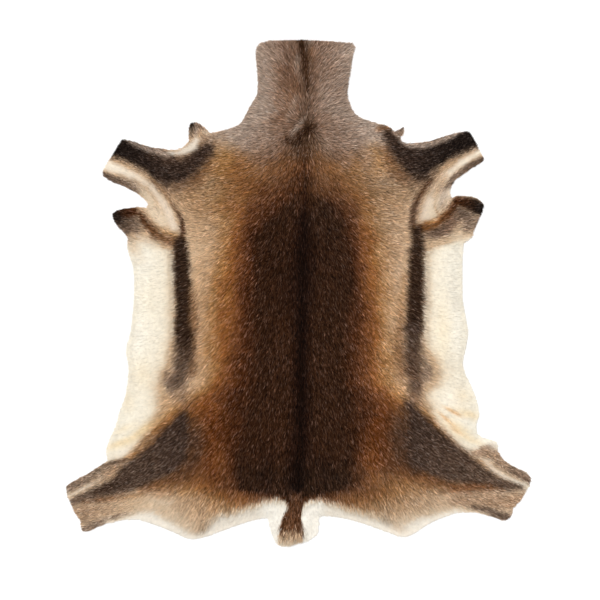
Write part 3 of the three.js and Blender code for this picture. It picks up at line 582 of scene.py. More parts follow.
def distance_grid(poly, x0, y0, nx, ny, step):
    """Distance to the outline, negative inside it, up to FAR."""
    xs, ys = x0 + np.arange(nx) * step, y0 + np.arange(ny) * step
    nxt = np.roll(poly, -1, 0)
    out = np.full((ny, nx), FAR)
    d = nxt - poly
    ll = (d ** 2).sum(1) + 1e-18
    for j, y in enumerate(ys):
        near = np.nonzero(np.abs(poly[:, 1] - y) < FAR + 4 * MM)[0]
        if len(near):
            p, dn = poly[near], d[near]
            px, py = xs[:, None] - p[None, :, 0], y - p[None, :, 1]
            t = np.clip((px * dn[:, 0] + py * dn[:, 1]) / ll[near], 0, 1)
            dist = np.sqrt(((px - t * dn[:, 0]) ** 2 + (py - t * dn[:, 1]) ** 2).min(1))
            out[j] = np.minimum(dist, FAR)
        spans = (poly[:, 1] > y) != (nxt[:, 1] > y)
        if spans.any():
            p, q = poly[spans], nxt[spans]
            cross = p[:, 0] + (y - p[:, 1]) / (q[:, 1] - p[:, 1]) * (q[:, 0] - p[:, 0])
            out[j][(xs[:, None] < cross[None]).sum(1) % 2 == 1] *= -1
    return Grid(x0, y0, step, out)


def blur(values, passes):
    v = values.copy()
    for _ in range(passes):
        p = np.pad(v, 1, mode="edge")
        v = (p[:-2, 1:-1] + p[2:, 1:-1] + p[1:-1, :-2] + p[1:-1, 2:] + 4 * v) / 8
    return v


hide_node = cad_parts["hide"]
co, tri = node_mesh(hide_node)
OUTLINE = soften(resample(outline_of(co, tri), 2 * MM), 1)
lo, hi = OUTLINE.min(0) - 0.03, OUTLINE.max(0) + 0.03
STEP = 2 * MM
SDF = distance_grid(OUTLINE, lo[0], lo[1], int((hi[0] - lo[0]) / STEP) + 2, int((hi[1] - lo[1]) / STEP) + 2, STEP)

tree = BVHTree.FromPolygons([tuple(p) for p in co], [tuple(map(int, t)) for t in tri])
STEP = 4 * MM
NX, NY = int((hi[0] - lo[0]) / STEP) + 2, int((hi[1] - lo[1]) / STEP) + 2
gx, gy = np.meshgrid(lo[0] + np.arange(NX) * STEP, lo[1] + np.arange(NY) * STEP)
gap = SDF(gx, gy)
heights = np.zeros((NY, NX))
for j, i in zip(*np.nonzero(gap < 6 * MM)):
    hit = tree.ray_cast(Vector((lo[0] + i * STEP, lo[1] + j * STEP, 1.0)), Vector((0, 0, -1)))
    if hit[0] is not None:
        heights[j, i] = hit[0].z
inside = gap < 0
level = blur(np.where(inside, heights, 0), 3) / np.maximum(blur(inside.astype(float), 3), 0.05)
TOP = Grid(lo[0], lo[1], STEP, np.where(level > 0, level, 0.004))


def slope_of(grid):
    gy, gx = np.gradient(grid.values, grid.step)
    return Grid(grid.x0, grid.y0, grid.step, gx), Grid(grid.x0, grid.y0, grid.step, gy)


SDF_X, SDF_Y = slope_of(SDF)


def wool(x, y):
    """Height of the undercoat: the coat's top less the pile, rolled down at the edge."""
    s = SDF(x, y)
    u, v = chart(x, y)
    crest = TOP(x, y) - PILE
    lumps = 0.5 * MM * cloud(u, v, 10, 31) + 0.3 * MM * cloud(u, v, 4, 32)
    roll = smooth01(-s / (16 * MM))
    return SKIN_TOP + 0.3 * MM + np.maximum(crest - SKIN_TOP + lumps, 0.4 * MM) * roll


# ---------------------------------------------------------------------------
# How the coat lies: rows of u, v, the way the tips point in degrees (0 to the
# right, 90 down the hide) and the hair's length in millimetres.
# ---------------------------------------------------------------------------
FLOW_LEFT = [
    # neck, parted down its middle and brushed up and out from the whorl
    (296, 50, 248, 15), (296, 80, 245, 15), (297, 105, 240, 14), (284, 50, 222, 15), (284, 80, 218, 15),
    (283, 105, 212, 14), (268, 50, 200, 14), (268, 80, 196, 14), (266, 108, 190, 14), (292, 122, 215, 13),
    (278, 124, 196, 13), (260, 128, 184, 13), (240, 134, 178, 13),
    # withers and shoulders
    (291, 146, 130, 13), (276, 145, 165, 13), (258, 146, 172, 13), (238, 152, 172, 13), (220, 150, 172, 12),
    (288, 170, 112, 14), (270, 172, 138, 14), (250, 175, 158, 14), (230, 178, 166, 13), (212, 182, 170, 12),
    (286, 205, 106, 15), (268, 208, 128, 15), (248, 210, 146, 14), (228, 212, 160, 14), (205, 212, 170, 13),
    (284, 240, 102, 15), (266, 242, 118, 15), (246, 244, 134, 15), (226, 244, 150, 14), (202, 244, 160, 13),
    # back and flank
    (284, 290, 99, 15), (264, 290, 110, 15), (244, 290, 125, 15), (222, 290, 140, 15), (202, 290, 150, 14),
    (284, 340, 98, 15), (264, 340, 108, 15), (244, 340, 122, 15), (222, 340, 136, 15), (202, 340, 146, 14),
    (284, 390, 97, 16), (264, 390, 106, 16), (244, 390, 117, 16), (222, 390, 130, 15), (202, 390, 140, 14),
    (182, 250, 146, 14), (182, 290, 144, 14), (182, 330, 142, 14), (180, 370, 140, 14), (178, 395, 140, 13),
    # haunch and hind leg
    (284, 440, 97, 16), (262, 440, 106, 16), (240, 440, 116, 16), (218, 440, 128, 15), (196, 440, 138, 14),
    (176, 440, 143, 13), (158, 456, 150, 12), (140, 468, 156, 12), (120, 480, 160, 11), (98, 490, 162, 10),
    (78, 500, 160, 9), (90, 478, 152, 8), (112, 466, 152, 8), (100, 508, 164, 11), (126, 504, 160, 13),
    # rump
    (284, 478, 96, 17), (262, 480, 104, 17), (240, 485, 110, 17), (216, 488, 118, 16), (190, 488, 128, 16),
    (164, 490, 140, 15), (270, 505, 98, 17), (245, 512, 102, 17), (220, 516, 108, 17), (198, 522, 118, 16),
    (176, 518, 126, 16), (152, 510, 140, 15),
    # belly
    (168, 260, 172, 20), (148, 260, 178, 22), (135, 260, 180, 22), (160, 310, 172, 22), (140, 310, 176, 24),
    (128, 310, 178, 24), (155, 360, 166, 22), (135, 360, 170, 24), (122, 360, 172, 24), (150, 405, 160, 20),
    (130, 410, 164, 22), (115, 430, 166, 22), (140, 430, 152, 16),
    # foreleg
    (211, 140, 170, 10), (204, 152, 168, 11), (190, 160, 172, 10), (188, 178, 168, 11), (170, 168, 184, 10),
    (150, 162, 198, 9), (130, 154, 202, 9), (115, 150, 204, 8), (193, 130, 250, 7), (201, 128, 280, 7),
    (174, 216, 235, 8), (164, 204, 228, 7), (152, 188, 218, 7), (136, 176, 208, 7), (114, 168, 204, 7),
    (110, 176, 204, 6), (132, 188, 208, 6), (156, 212, 225, 6), (178, 204, 205, 11),
    # elbow flap
    (176, 236, 188, 12), (162, 235, 196, 12), (150, 228, 204, 11), (140, 216, 196, 10), (118, 216, 188, 10),
    (124, 228, 178, 11), (140, 238, 182, 14),
]
FLOW_RIGHT = [
    (307, 50, 292, 15), (307, 80, 295, 15), (309, 105, 300, 14), (320, 50, 318, 15), (322, 80, 322, 15),
    (324, 105, 328, 14), (338, 50, 340, 14), (340, 80, 344, 14), (340, 108, 350, 14), (314, 122, 325, 13),
    (330, 124, 344, 13), (348, 128, 356, 13), (364, 132, 2, 13),
    (314, 146, 50, 13), (330, 146, 15, 13), (348, 148, 8, 13), (366, 150, 8, 13), (380, 146, 10, 12),
    (316, 172, 68, 14), (334, 174, 42, 14), (354, 176, 24, 14), (374, 180, 16, 13), (392, 184, 12, 12),
    (318, 205, 74, 15), (336, 208, 52, 15), (356, 210, 34, 14), (378, 212, 22, 14), (400, 212, 12, 13),
    (320, 240, 78, 15), (338, 242, 62, 15), (358, 244, 46, 15), (380, 244, 31, 14), (402, 244, 22, 13),
    (320, 290, 81, 15), (340, 290, 70, 15), (360, 290, 55, 15), (382, 290, 41, 15), (402, 290, 31, 14),
    (320, 340, 82, 15), (340, 340, 72, 15), (360, 340, 58, 15), (382, 340, 45, 15), (402, 340, 35, 14),
    (320, 390, 83, 16), (340, 390, 74, 16), (360, 390, 63, 16), (382, 390, 50, 15), (402, 390, 40, 14),
    (417, 250, 36, 14), (417, 290, 37, 14), (414, 330, 38, 14), (412, 370, 40, 14), (414, 395, 40, 13),
    (320, 440, 83, 16), (340, 440, 74, 16), (362, 440, 64, 16), (384, 440, 52, 15), (404, 438, 42, 14),
    (424, 440, 37, 13), (442, 456, 31, 12), (460, 468, 26, 12), (480, 477, 22, 11), (500, 484, 20, 10),
    (520, 492, 20, 9), (510, 468, 30, 8), (492, 456, 30, 8), (500, 504, 16, 11), (472, 500, 20, 13),
    (318, 478, 84, 17), (340, 480, 76, 17), (362, 485, 70, 17), (384, 488, 62, 16), (410, 488, 52, 16),
    (436, 490, 40, 15), (330, 505, 82, 17), (352, 510, 78, 17), (374, 514, 72, 17), (398, 522, 62, 16),
    (420, 516, 54, 16), (446, 508, 40, 15),
    (430, 262, 8, 20), (446, 262, 2, 22), (458, 262, 0, 22), (434, 310, 8, 22), (450, 310, 4, 24),
    (462, 310, 2, 24), (438, 360, 14, 22), (456, 360, 10, 24), (468, 360, 8, 24), (444, 398, 20, 20),
    (460, 402, 16, 22), (474, 420, 15, 20), (456, 424, 30, 16), (478, 440, 22, 14),
    (384, 130, 10, 10), (390, 146, 12, 11), (404, 152, 6, 10), (408, 170, 10, 11), (426, 162, 352, 10),
    (446, 152, 342, 9), (466, 142, 338, 9), (477, 140, 336, 8), (399, 130, 320, 6),
    (420, 212, 302, 8), (428, 196, 312, 7), (440, 180, 320, 7), (456, 164, 328, 7), (474, 154, 332, 7),
    (478, 162, 332, 6), (456, 174, 330, 6), (440, 200, 315, 6), (416, 196, 335, 11),
    (420, 226, 352, 12), (436, 226, 345, 12), (448, 216, 330, 11), (460, 206, 340, 10), (478, 206, 355, 10),
    (468, 220, 0, 12), (452, 230, 355, 13), (436, 234, 5, 14),
]
FLOW_MIDDLE = [
    (306, 139, 80, 11), (308, 122, 290, 12), (301, 127, 150, 12), (295, 133, 142, 12), (288, 137, 150, 11),
    (293, 145, 118, 11), (300, 143, 100, 11), (303, 160, 90, 14), (304, 190, 90, 15), (303, 225, 90, 15),
    (302, 260, 90, 15), (302, 300, 90, 15), (301, 340, 90, 15), (301, 380, 90, 16), (301, 420, 90, 16),
    (300, 460, 90, 17), (297, 490, 92, 17), (295, 505, 93, 16), (293, 518, 95, 20), (286, 530, 104, 22),
    (299, 530, 78, 22), (292, 540, 92, 22), (276, 520, 104, 18), (310, 516, 74, 18),
]


def flow(x, y):
    """Angle and length of the hair that grows at each point."""
    u, v = chart(x, y)
    rows = np.array(FLOW_LEFT + FLOW_RIGHT + FLOW_MIDDLE, float)
    a = np.radians(rows[:, 2])
    ca, sa, length = np.cos(a), np.sin(a), rows[:, 3]
    out_a, out_l = np.empty(len(u)), np.empty(len(u))
    for s in range(0, len(u), 20000):
        uu, vv = u[s:s + 20000, None], v[s:s + 20000, None]
        d2 = (uu - rows[:, 0]) ** 2 + (vv - rows[:, 1]) ** 2
        near = np.partition(d2, 2, 1)[:, 2:3]
        w = np.exp(-d2 / (2 * np.maximum(near * 0.45, 40.0)))
        w /= w.sum(1, keepdims=True) + 1e-12
        out_a[s:s + 20000] = np.arctan2(w @ sa, w @ ca)
        out_l[s:s + 20000] = w @ length
    return out_a, out_l


# ---------------------------------------------------------------------------
# Meshes
# ---------------------------------------------------------------------------
def linear(c):
    c = np.clip(c, 0, 1)
    return np.where(c <= 0.04045, c / 12.92, ((c + 0.055) / 1.055) ** 2.4)


def albedo(c):
    """Linear base colour for a coat tone."""
    return linear(c)


def mesh_from(name, verts, tris, colours=None, uvs=None, smooth=True):
    mesh = bpy.data.meshes.new(name)
    mesh.vertices.add(len(verts))
    mesh.vertices.foreach_set("co", np.ascontiguousarray(verts, np.float32).ravel())
    mesh.loops.add(len(tris) * 3)
    mesh.loops.foreach_set("vertex_index", np.ascontiguousarray(tris, np.int32).ravel())
    mesh.polygons.add(len(tris))
    mesh.polygons.foreach_set("loop_start", np.arange(0, len(tris) * 3, 3, dtype=np.int32))
    mesh.polygons.foreach_set("loop_total", np.full(len(tris), 3, np.int32))
    mesh.polygons.foreach_set("use_smooth", np.full(len(tris), smooth))
    if uvs is not None:
        layer = mesh.uv_layers.new(name="OFBake")
        layer.data.foreach_set("uv", np.ascontiguousarray(uvs, np.float32).ravel())
    mesh.update(calc_edges=True)
    if colours is not None:
        attr = mesh.color_attributes.new("coat", "FLOAT_COLOR", "POINT")
        rgba = np.ones((len(verts), 4), np.float32)
        rgba[:, :3] = colours
        attr.data.foreach_set("color", rgba.ravel())
    mesh.validate()
    obj = bpy.data.objects.new(name, mesh)
    bpy.context.scene.collection.objects.link(obj)
    return obj


def fill(poly, spacing, margin):
    """Triangles over the inside of an outline, with points every spacing."""
    (x0, y0), (x1, y1) = poly.min(0), poly.max(0)
    pts = []
    row = 0
    y = y0 + spacing * 0.5
    while y < y1:
        x = np.arange(x0 + (spacing * 0.5 if row % 2 else 0), x1, spacing)
        pts.append(np.stack([x, np.full(len(x), y)], 1))
        y += spacing * 0.866
        row += 1
    pts = np.concatenate(pts)
    pts = pts[SDF(pts[:, 0], pts[:, 1]) < margin]
    both = np.vstack([poly, pts])
    n = len(poly)
    out = delaunay_2d_cdt([Vector(p) for p in both], [(i, (i + 1) % n) for i in range(n)], [], 0, 1e-6)
    verts = np.array([tuple(v) for v in out[0]])
    tris = np.array([f for f in out[2] if len(f) == 3], int)
    mid = verts[tris].mean(1)
    keep = inside_poly(mid, poly)
    tris = tris[keep]
    a, b, c = (verts[tris[:, k]] for k in range(3))
    flip = (b[:, 0] - a[:, 0]) * (c[:, 1] - a[:, 1]) - (b[:, 1] - a[:, 1]) * (c[:, 0] - a[:, 0]) < 0
    tris[flip] = tris[flip][:, ::-1]
    used, inverse = np.unique(tris, return_inverse=True)
    return verts[used], inverse.reshape(-1, 3)


def inside_poly(p, poly):
    nxt = np.roll(poly, -1, 0)
    odd = np.zeros(len(p), bool)
    for a, b in zip(poly, nxt):
        if a[1] == b[1]:
            continue
        spans = (a[1] > p[:, 1]) != (b[1] > p[:, 1])
        odd ^= spans & (p[:, 0] < a[0] + (p[:, 1] - a[1]) / (b[1] - a[1]) * (b[0] - a[0]))
    return odd


def inset(poly, amount):
    """The outline moved in along the distance field."""
    p = poly.copy()
    for _ in range(6):
        s = SDF(p[:, 0], p[:, 1])
        gx, gy = SDF_X(p[:, 0], p[:, 1]), SDF_Y(p[:, 0], p[:, 1])
        g = np.maximum(np.hypot(gx, gy), 0.3)
        move = np.clip(s + amount, -1.5 * MM, 1.5 * MM)
        p = p - np.stack([gx, gy], 1) * (move / g)[:, None]
        p = soften(p, 1)
    return resample(p, 4 * MM)


def top_map(verts, tris):
    """The bake map of a surface seen from above."""
    (x0, y0), (x1, y1) = OUTLINE.min(0) - 0.01, OUTLINE.max(0) + 0.01
    size = max(x1 - x0, y1 - y0)
    uv = np.stack([(verts[:, 0] - x0) / size, (verts[:, 1] - y0) / size], 1)
    return uv[tris].reshape(-1, 2)


# ---- the leather
edge = inset(OUTLINE, 4.4 * MM)
flat, faces = fill(edge, 12 * MM, -9 * MM)
n = len(flat)
rim = np.arange(len(edge))
border = {}
for a, b, c in faces:
    for p, q in ((a, b), (b, c), (c, a)):
        border[(p, q)] = border.get((p, q), 0) + 1
walls = [(p, q) for (p, q) in border if (q, p) not in border]
su, sv = chart(flat[:, 0], flat[:, 1])
s = SDF(flat[:, 0], flat[:, 1])
curl = 0.7 * MM * (1 + cloud(su, sv, 26, 41)) * smooth01(1 + s / (24 * MM))
under = np.column_stack([flat, SKIN_FOOT + curl * 0.8])
above = np.column_stack([flat, SKIN_TOP - 0.2 * MM + curl * 0.5])
verts = np.vstack([above, under])
tris = [faces, faces[:, ::-1] + n]
for p, q in walls:
    tris.append(np.array([[q, p, p + n], [q, p + n, q + n]]))
skin = mesh_from("hide_leather", verts, np.vstack(tris))

# ---- the undercoat
edge = inset(OUTLINE, 3.0 * MM)
flat, faces = fill(edge, 6.2 * MM, -7 * MM)
z = wool(flat[:, 0], flat[:, 1])
colour, mottle = coat(flat[:, 0], flat[:, 1])
lum = colour.mean(1, keepdims=True)
# The wool is painted darker under dark hair, down to 0.38 of the hair's colour: painted shade at the bottom of the
# pile.
shade = albedo(colour) * (0.38 + 0.57 * smooth01((lum - 0.45) / 0.4))
undercoat = mesh_from("hide_undercoat", np.column_stack([flat, z]), faces, shade, top_map(flat, faces))

# ---- the guard hair
total = HAIRS * COAT_PIECES
area = 0.0
nxt = np.roll(OUTLINE, -1, 0)
area = abs((OUTLINE[:, 0] * nxt[:, 1] - nxt[:, 0] * OUTLINE[:, 1]).sum()) / 2
pitch = math.sqrt(area * 0.985 / total / 0.866)
(x0, y0), (x1, y1) = OUTLINE.min(0), OUTLINE.max(0)
xs, ys = [], []
y, row = y0, 0
while y < y1:
    x = np.arange(x0 + (pitch / 2 if row % 2 else 0), x1, pitch)
    xs.append(x)
    ys.append(np.full(len(x), y))
    y += pitch * 0.866
    row += 1
xs, ys = np.concatenate(xs), np.concatenate(ys)
xs = xs + RNG.uniform(-0.5, 0.5, len(xs)) * pitch
ys = ys + RNG.uniform(-0.5, 0.5, len(ys)) * pitch
thin = np.full(len(xs), 2.4)
for ru, rv, size, cut in ((351, 60, 8, 1.7), (326, 41, 10, 1.6), (361, 118, 8, 1.6), (247, 114, 9, 1.5), (257, 94, 7, 1.2),
                          (240, 124, 6, 1.0), (496, 515, 7, 1.6), (430, 142, 7, 1.4), (118, 212, 5, 1.4)):
    cu, cv = chart(xs, ys)
    thin = thin + cut * np.exp(-((cu - ru) ** 2 + (cv - rv) ** 2) / size ** 2)
keep = SDF(xs, ys) < -thin * MM
xs, ys = xs[keep], ys[keep]
order = RNG.permutation(len(xs))[:total]
xs, ys = xs[order], ys[order]
total = len(xs)

u, v = chart(xs, ys)
tint = coat(xs, ys)[0].mean(1)
pale = smooth01((tint - 0.62) / 0.2)
dusky = smooth01((0.38 - tint) / 0.18)

# the hair stands in narrow locks drawn out along the lie of the coat: each has
# its own lean, length and shade
LOCK = 2.8 * MM
DRAWN = 3.1
TABLES = np.random.RandomState(77)
jitter = TABLES.uniform(0.08, 0.92, (2, 256, 256))
traits = TABLES.normal(0, 1, (6, 256, 256))
ci, cj = np.floor(xs / LOCK).astype(int), np.floor(ys / LOCK).astype(int)
lie = flow(xs, ys)[0] + np.radians(8) * cloud(u, v, 7, 51)
ux, uy = np.cos(lie), -np.sin(lie)
best = np.full(total, 1e9)
lx, ly, li, lj = xs.copy(), ys.copy(), ci.copy(), cj.copy()
for di in (-2, -1, 0, 1, 2):
    for dj in (-2, -1, 0, 1, 2):
        i, j = ci + di, cj + dj
        px = (i + jitter[0][i % 256, j % 256]) * LOCK
        py = (j + jitter[1][i % 256, j % 256]) * LOCK
        along = (px - xs) * ux + (py - ys) * uy
        across = (py - ys) * ux - (px - xs) * uy
        d = across ** 2 + (along / DRAWN) ** 2
        closer = d < best
        best = np.where(closer, d, best)
        lx, ly = np.where(closer, px, lx), np.where(closer, py, ly)
        li, lj = np.where(closer, i, li), np.where(closer, j, lj)
across = (ly - ys) * ux - (lx - xs) * uy
lean, grow, tone, lift, warm, tilt = (t[li % 256, lj % 256] for t in traits)

length = flow(lx, ly)[1]
angle = lie + np.radians(9) * lean + RNG.normal(0, math.radians(2.2), total)
length = length * MM * np.clip(1 + 0.14 * grow, 0.65, 1.5) * RNG.uniform(0.82, 1.1, total) * (1 - 0.15 * dusky)
dirx, diry = np.cos(angle), -np.sin(angle)

# a hair that would reach too far over the edge is cut shorter
shaggy = np.maximum(pale, smooth01((132 - v) / 10))
ragged = 0.45 * RNG.rand(total) + 0.55 * np.clip(0.5 + 0.36 * grow, 0, 1)
reach = MM * ((1 - shaggy) * (-2.2 + 3.8 * ragged ** 2) + shaggy * (-3.0 - 2.8 * (v < 132) + 6.5 * ragged))
reach = reach + 2.8 * MM * np.exp(-((u - 354) ** 2 + (v - 48) ** 2) / 60)
for ru, rv, size, cut in ((130, 207, 9, 2.2), (468, 197, 9, 2.4), (152, 147, 13, 1.5), (436, 141, 18, 1.5), (191, 149, 7, 1.0),
                          (400, 140, 5, 1.8), (288, 545, 8, 1.6), (118, 457, 9, 1.5), (351, 60, 8, 1.4), (324, 41, 7, 1.1),
                          (362, 118, 7, 1.1), (246, 119, 9, 1.1), (494, 514, 7, 1.1), (429, 142, 6, 0.8)):
    reach = reach - cut * MM * np.exp(-((u - ru) ** 2 + (v - rv) ** 2) / size ** 2)
reach = np.where(RNG.rand(total) < 0.03, reach + 2.0 * MM, reach)
for _ in range(3):
    over = SDF(xs + dirx * length, ys + diry * length) - reach
    length = np.where(over > 0, np.maximum(length - over, 3.0 * MM), length)

near_edge = smooth01(1 + SDF(xs, ys) / (14 * MM)) * (1 - 0.8 * pale)
lift = lift * (1 - 0.75 * pale)
rise = np.radians(np.clip(27 + 6 * lift + RNG.normal(0, 3, total), 10, 48)) * (1 - 0.6 * pale) * (1 - 0.55 * near_edge)
dip = np.radians(np.clip(7 + 4 * lift + RNG.normal(0, 3, total), -8, 24)) * (1 - 0.6 * pale) - np.radians(10) * near_edge
sway = np.radians(8) * tilt + RNG.normal(0, math.radians(2), total)
width = MM * np.clip(RNG.normal(1.35, 0.3, total), 0.7, 2.3) * (1 - 0.2 * pale + 0.1 * dusky)
roll = RNG.normal(0, 0.4, total) * (1 - 0.75 * pale)

root = np.stack([xs, ys, wool(xs, ys) - 0.9 * MM * np.clip(length / (13 * MM), 0.1, 1)], 1)
d1 = np.stack([dirx * np.cos(rise), diry * np.cos(rise), np.sin(rise)], 1)
a2 = angle + sway
d2 = np.stack([np.cos(a2) * np.cos(dip), -np.sin(a2) * np.cos(dip), np.sin(dip)], 1)
mid = root + d1 * (length * 0.48)[:, None]
tip = mid + d2 * (length * 0.54)[:, None]
pull = np.stack([-uy, ux], 1) * (across * (1 - 0.9 * pale))[:, None]
mid[:, :2] += pull * 0.35
tip[:, :2] += pull * 0.8
lowest = 0.35 * MM
ground = np.where(SDF(tip[:, 0], tip[:, 1]) < 0, wool(tip[:, 0], tip[:, 1]) + 0.4 * MM, lowest)
# pale hair is sleek and lies down on the wool
sleek = 0.85 * pale
under = np.where(SDF(mid[:, 0], mid[:, 1]) < 0, wool(mid[:, 0], mid[:, 1]) + 1.0 * MM, lowest)
mid[:, 2] += (under - mid[:, 2]) * sleek
tip[:, 2] += (ground + 0.4 * MM - tip[:, 2]) * sleek
tip[:, 2] = np.maximum(tip[:, 2], ground)
mid[:, 2] = np.maximum(mid[:, 2], lowest)
root[:, 2] = np.maximum(root[:, 2], lowest)
side = np.stack([-diry * np.cos(roll), dirx * np.cos(roll), np.sin(roll)], 1)
half = (width / 2)[:, None]
b0, b1 = root - side * half * 0.7, root + side * half * 0.7
m0, m1 = mid - side * half, mid + side * half
for p in (b0, b1, m0, m1):
    p[:, 2] = np.maximum(p[:, 2], 0.2 * MM)

# the colour is taken partway along each hair, so that borders comb out into streaks
sx, sy = xs + dirx * length * 0.45, ys + diry * length * 0.45
rnd = 0.45 * TABLES.normal(0, 1, (256, 256))[li % 256, lj % 256] + RNG.normal(0, 0.3, total)
colour, mottle = coat(sx, sy, rnd)
lum = colour.mean(1)
light = smooth01((lum - 0.45) / 0.4)
dark = smooth01((0.355 - lum) / 0.2)
base = albedo(colour) * (1 + 0.09 * (1 - light) * (1 - 0.5 * dark))[:, None]
rich = smooth01(((colour.max(1) - colour.min(1)) / colour.max(1) - 0.40) / 0.12) * (1 - light)
base = base * (1 - (0.03 + 0.10 * rich)[:, None] * np.array([-0.1, 0.15, 1.0]))
vary = np.exp((0.27 + 0.27 * dark - 0.265 * light) * np.clip(tone, -2.2, 1.9)
              + (0.25 + 0.24 * dark - 0.24 * light) * RNG.normal(0, 1, total) - 0.033 * (1 - light) - 0.145 * dark)
grey = base.mean(1, keepdims=True)
base = base + (grey - base) * (0.22 * smooth01((tone - 0.2) / 1.5) * (1 - light))[:, None]
base = grey + (base - grey) * (1 + 0.08 * dark - 0.24 * dark * np.clip(np.log(vary), -0.7, 1.1))[:, None]
base = base * (vary * mottle)[:, None]
base = base * (1 + (0.03 - 0.024 * light)[:, None] * warm[:, None] * np.array([1.0, -0.1, -1.0]))
# Each hair is painted darker at its root, down to 0.55 of its colour under dark hair: painted shade deep in the coat.
# Its tip is painted lighter, up to 1.30: partly the hair's own paler tip, partly a painted highlight.
root_with_painted_shade = base * (0.55 + 0.43 * light)[:, None]
tip_tint_and_painted_highlight = base * (1.30 - 0.28 * light)[:, None]

# hairs of one row of the hide lie beside each other on the bake map
piece_of = np.arange(total) % COAT_PIECES
coat_pieces = []
for k in range(COAT_PIECES):
    pick = np.nonzero(piece_of == k)[0]
    m = len(pick)
    side_n = int(math.ceil(math.sqrt(m)))
    by_row = pick[np.argsort(-ys[pick], kind="stable")]
    rows = [by_row[i:i + side_n] for i in range(0, m, side_n)]
    rows = [r[np.argsort(xs[r], kind="stable")] for r in rows]
    pick = np.concatenate(rows)
    i, j = np.arange(m) % side_n, np.arange(m) // side_n
    cell = 1.0 / side_n
    cu, cv = i * cell, 1 - (j + 1) * cell
    verts = np.stack([b0[pick], b1[pick], m0[pick], m1[pick], tip[pick]], 1).reshape(-1, 3)
    cols = np.stack([root_with_painted_shade[pick], root_with_painted_shade[pick], base[pick], base[pick], tip_tint_and_painted_highlight[pick]], 1).reshape(-1, 3)
    f = np.arange(m)[:, None, None] * 5 + np.array([[0, 1, 2], [1, 3, 2], [2, 3, 4]])[None]
    lay = np.array([[0.12, 0.12], [0.88, 0.12], [0.12, 0.5], [0.88, 0.5], [0.5, 0.88]]) * cell
    uv = (np.stack([cu, cv], 1)[:, None, :] + lay[None]).reshape(-1, 2)
    tris = f.reshape(-1, 3)
    a, b, c = (verts[tris[:, q]] for q in range(3))
    down = np.cross(b - a, c - a)[:, 2] < 0
    tris[down] = tris[down][:, ::-1]
    coat_pieces.append(mesh_from("hide_coat_%d" % (k + 1), verts, tris, cols, uv[tris].reshape(-1, 2)))


# ---------------------------------------------------------------------------
# Finishes
# ---------------------------------------------------------------------------
def material(name, roughness, specular):
    mat = bpy.data.materials.new(name)
    mat.use_nodes = True
    nodes, links = mat.node_tree.nodes, mat.node_tree.links
    shader = next(node for node in nodes if node.type == "BSDF_PRINCIPLED")
    shader.inputs["Roughness"].default_value = roughness
    shader.inputs["Specular IOR Level"].default_value = specular
    return mat, nodes, links, shader


def noise(nodes, links, where, scale, detail=3.0, rough=0.55):
    tex = nodes.new("ShaderNodeTexNoise")
    tex.inputs["Scale"].default_value = scale
    tex.inputs["Detail"].default_value = detail
    tex.inputs["Roughness"].default_value = rough
    links.new(where, tex.inputs["Vector"])
    return tex.outputs["Fac"]


def span(nodes, links, value, low, high):
    node = nodes.new("ShaderNodeMapRange")
    node.inputs["From Min"].default_value = 0.3
    node.inputs["From Max"].default_value = 0.7
    node.inputs["To Min"].default_value = low
    node.inputs["To Max"].default_value = high
    links.new(value, node.inputs["Value"])
    return node.outputs["Result"]


def scaled(nodes, links, colour, factor):
    node = nodes.new("ShaderNodeVectorMath")
    node.operation = "SCALE"
    links.new(colour, node.inputs[0])
    links.new(factor, node.inputs["Scale"])
    return node.outputs["Vector"]


def fur_material(name, roughness, specular, low, high):
    mat, nodes, links, shader = material(name, roughness, specular)
    attr = nodes.new("ShaderNodeAttribute")
    attr.attribute_name = "coat"
    where = nodes.new("ShaderNodeTexCoord").outputs["Object"]
    grain = span(nodes, links, noise(nodes, links, where, 140.0), low, high)
    links.new(scaled(nodes, links, attr.outputs["Color"], grain), shader.inputs["Base Color"])
    return mat


guard = fur_material("guard_hair", 0.7, 0.05, 0.94, 1.06)
wool_mat = fur_material("undercoat_wool", 0.95, 0.0, 0.82, 1.12)
for piece in coat_pieces:
    piece.data.materials.append(guard)
undercoat.data.materials.append(wool_mat)

suede, nodes, links, shader = material("suede_side", 0.88, 0.12)
where = nodes.new("ShaderNodeTexCoord").outputs["Object"]
cloudy = noise(nodes, links, where, 7.0, 4.0, 0.6)
fine = noise(nodes, links, where, 420.0, 2.0, 0.6)
ramp = nodes.new("ShaderNodeValToRGB")
ramp.color_ramp.elements[0].position = 0.32
ramp.color_ramp.elements[0].color = (*linear(rgb("bfa283")), 1)
ramp.color_ramp.elements[1].position = 0.68
ramp.color_ramp.elements[1].color = (*linear(rgb("ddc9ad")), 1)
links.new(cloudy, ramp.inputs["Fac"])
vein = nodes.new("ShaderNodeTexVoronoi")
vein.feature = "DISTANCE_TO_EDGE"
vein.inputs["Scale"].default_value = 5.5
warp = nodes.new("ShaderNodeMix")
warp.data_type = "VECTOR"
warp.inputs["Factor"].default_value = 0.12
wob = nodes.new("ShaderNodeTexNoise")
wob.inputs["Scale"].default_value = 6.0
links.new(where, wob.inputs["Vector"])
links.new(where, warp.inputs["A"])
links.new(wob.outputs["Color"], warp.inputs["B"])
links.new(warp.outputs["Result"], vein.inputs["Vector"])
line = nodes.new("ShaderNodeMapRange")
line.inputs["From Min"].default_value = 0.0
line.inputs["From Max"].default_value = 0.035
line.inputs["To Min"].default_value = 0.86
line.inputs["To Max"].default_value = 1.0
links.new(vein.outputs["Distance"], line.inputs["Value"])
grain = span(nodes, links, fine, 0.93, 1.05)
both = nodes.new("ShaderNodeMath")
both.operation = "MULTIPLY"
links.new(line.outputs["Result"], both.inputs[0])
links.new(grain, both.inputs[1])
links.new(scaled(nodes, links, ramp.outputs["Color"], both.outputs[0]), shader.inputs["Base Color"])
bump = nodes.new("ShaderNodeBump")
bump.inputs["Strength"].default_value = 0.35
bump.inputs["Distance"].default_value = 0.0006
links.new(fine, bump.inputs["Height"])
links.new(bump.outputs["Normal"], shader.inputs["Normal"])
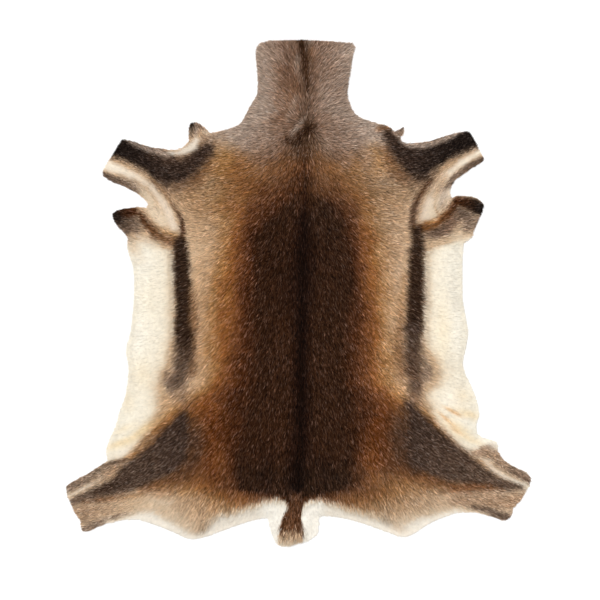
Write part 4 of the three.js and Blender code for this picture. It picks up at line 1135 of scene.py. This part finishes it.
skin.data.materials.append(suede)

# ---------------------------------------------------------------------------
# Each piece hung from the root body; the imported part hidden
# ---------------------------------------------------------------------------
for piece in [skin, undercoat] + coat_pieces:
    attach(piece, "root")
for piece in [undercoat] + coat_pieces:
    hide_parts("hide")
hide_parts("hide")

# ---------------------------------------------------------------------------
# Floor, light and camera
# ---------------------------------------------------------------------------
floor_mesh = bpy.data.meshes.new("floor")
R = 14.0
floor_mesh.from_pydata([(-R, -R, 0), (R, -R, 0), (R, R, 0), (-R, R, 0)], [], [(0, 1, 2, 3)])
floor = bpy.data.objects.new("floor", floor_mesh)
bpy.context.scene.collection.objects.link(floor)
paper, nodes, links, shader = material("pale_floor", 0.9, 0.0)
shader.inputs["Base Color"].default_value = (0.93, 0.93, 0.93, 1)
floor.data.materials.append(paper)

scene = bpy.context.scene
world = bpy.data.worlds.new("studio")
world.use_nodes = True
world.node_tree.nodes["Background"].inputs["Color"].default_value = (1.0, 1.0, 1.0, 1)
world.node_tree.nodes["Background"].inputs["Strength"].default_value = 0.95
scene.world = world


def area_light(name, at, to, size, power):
    data = bpy.data.lights.new(name, "AREA")
    data.shape = "DISK"
    data.size = size
    data.energy = power
    lamp = bpy.data.objects.new(name, data)
    lamp.location = at
    lamp.rotation_euler = (Vector(to) - Vector(at)).to_track_quat("-Z", "Y").to_euler()
    scene.collection.objects.link(lamp)
    return lamp


sun = bpy.data.lights.new("soft_sun", "SUN")
sun.energy = 1.5
sun.angle = math.radians(28)
sun_lamp = bpy.data.objects.new("soft_sun", sun)
sun_lamp.rotation_euler = Vector((-0.55, 0.75, 1.25)).to_track_quat("Z", "Y").to_euler()
scene.collection.objects.link(sun_lamp)

camera = bpy.data.cameras.new("camera")
camera.lens = 85
camera.sensor_width = 36
camera.clip_end = 100
eye = bpy.data.objects.new("camera", camera)
eye.location = (0.0037, -0.0172, 3.485)
eye.rotation_euler = (0, 0, 0)
scene.collection.objects.link(eye)
scene.camera = eye
scene.view_settings.view_transform = "Standard"
scene.view_settings.look = "None"
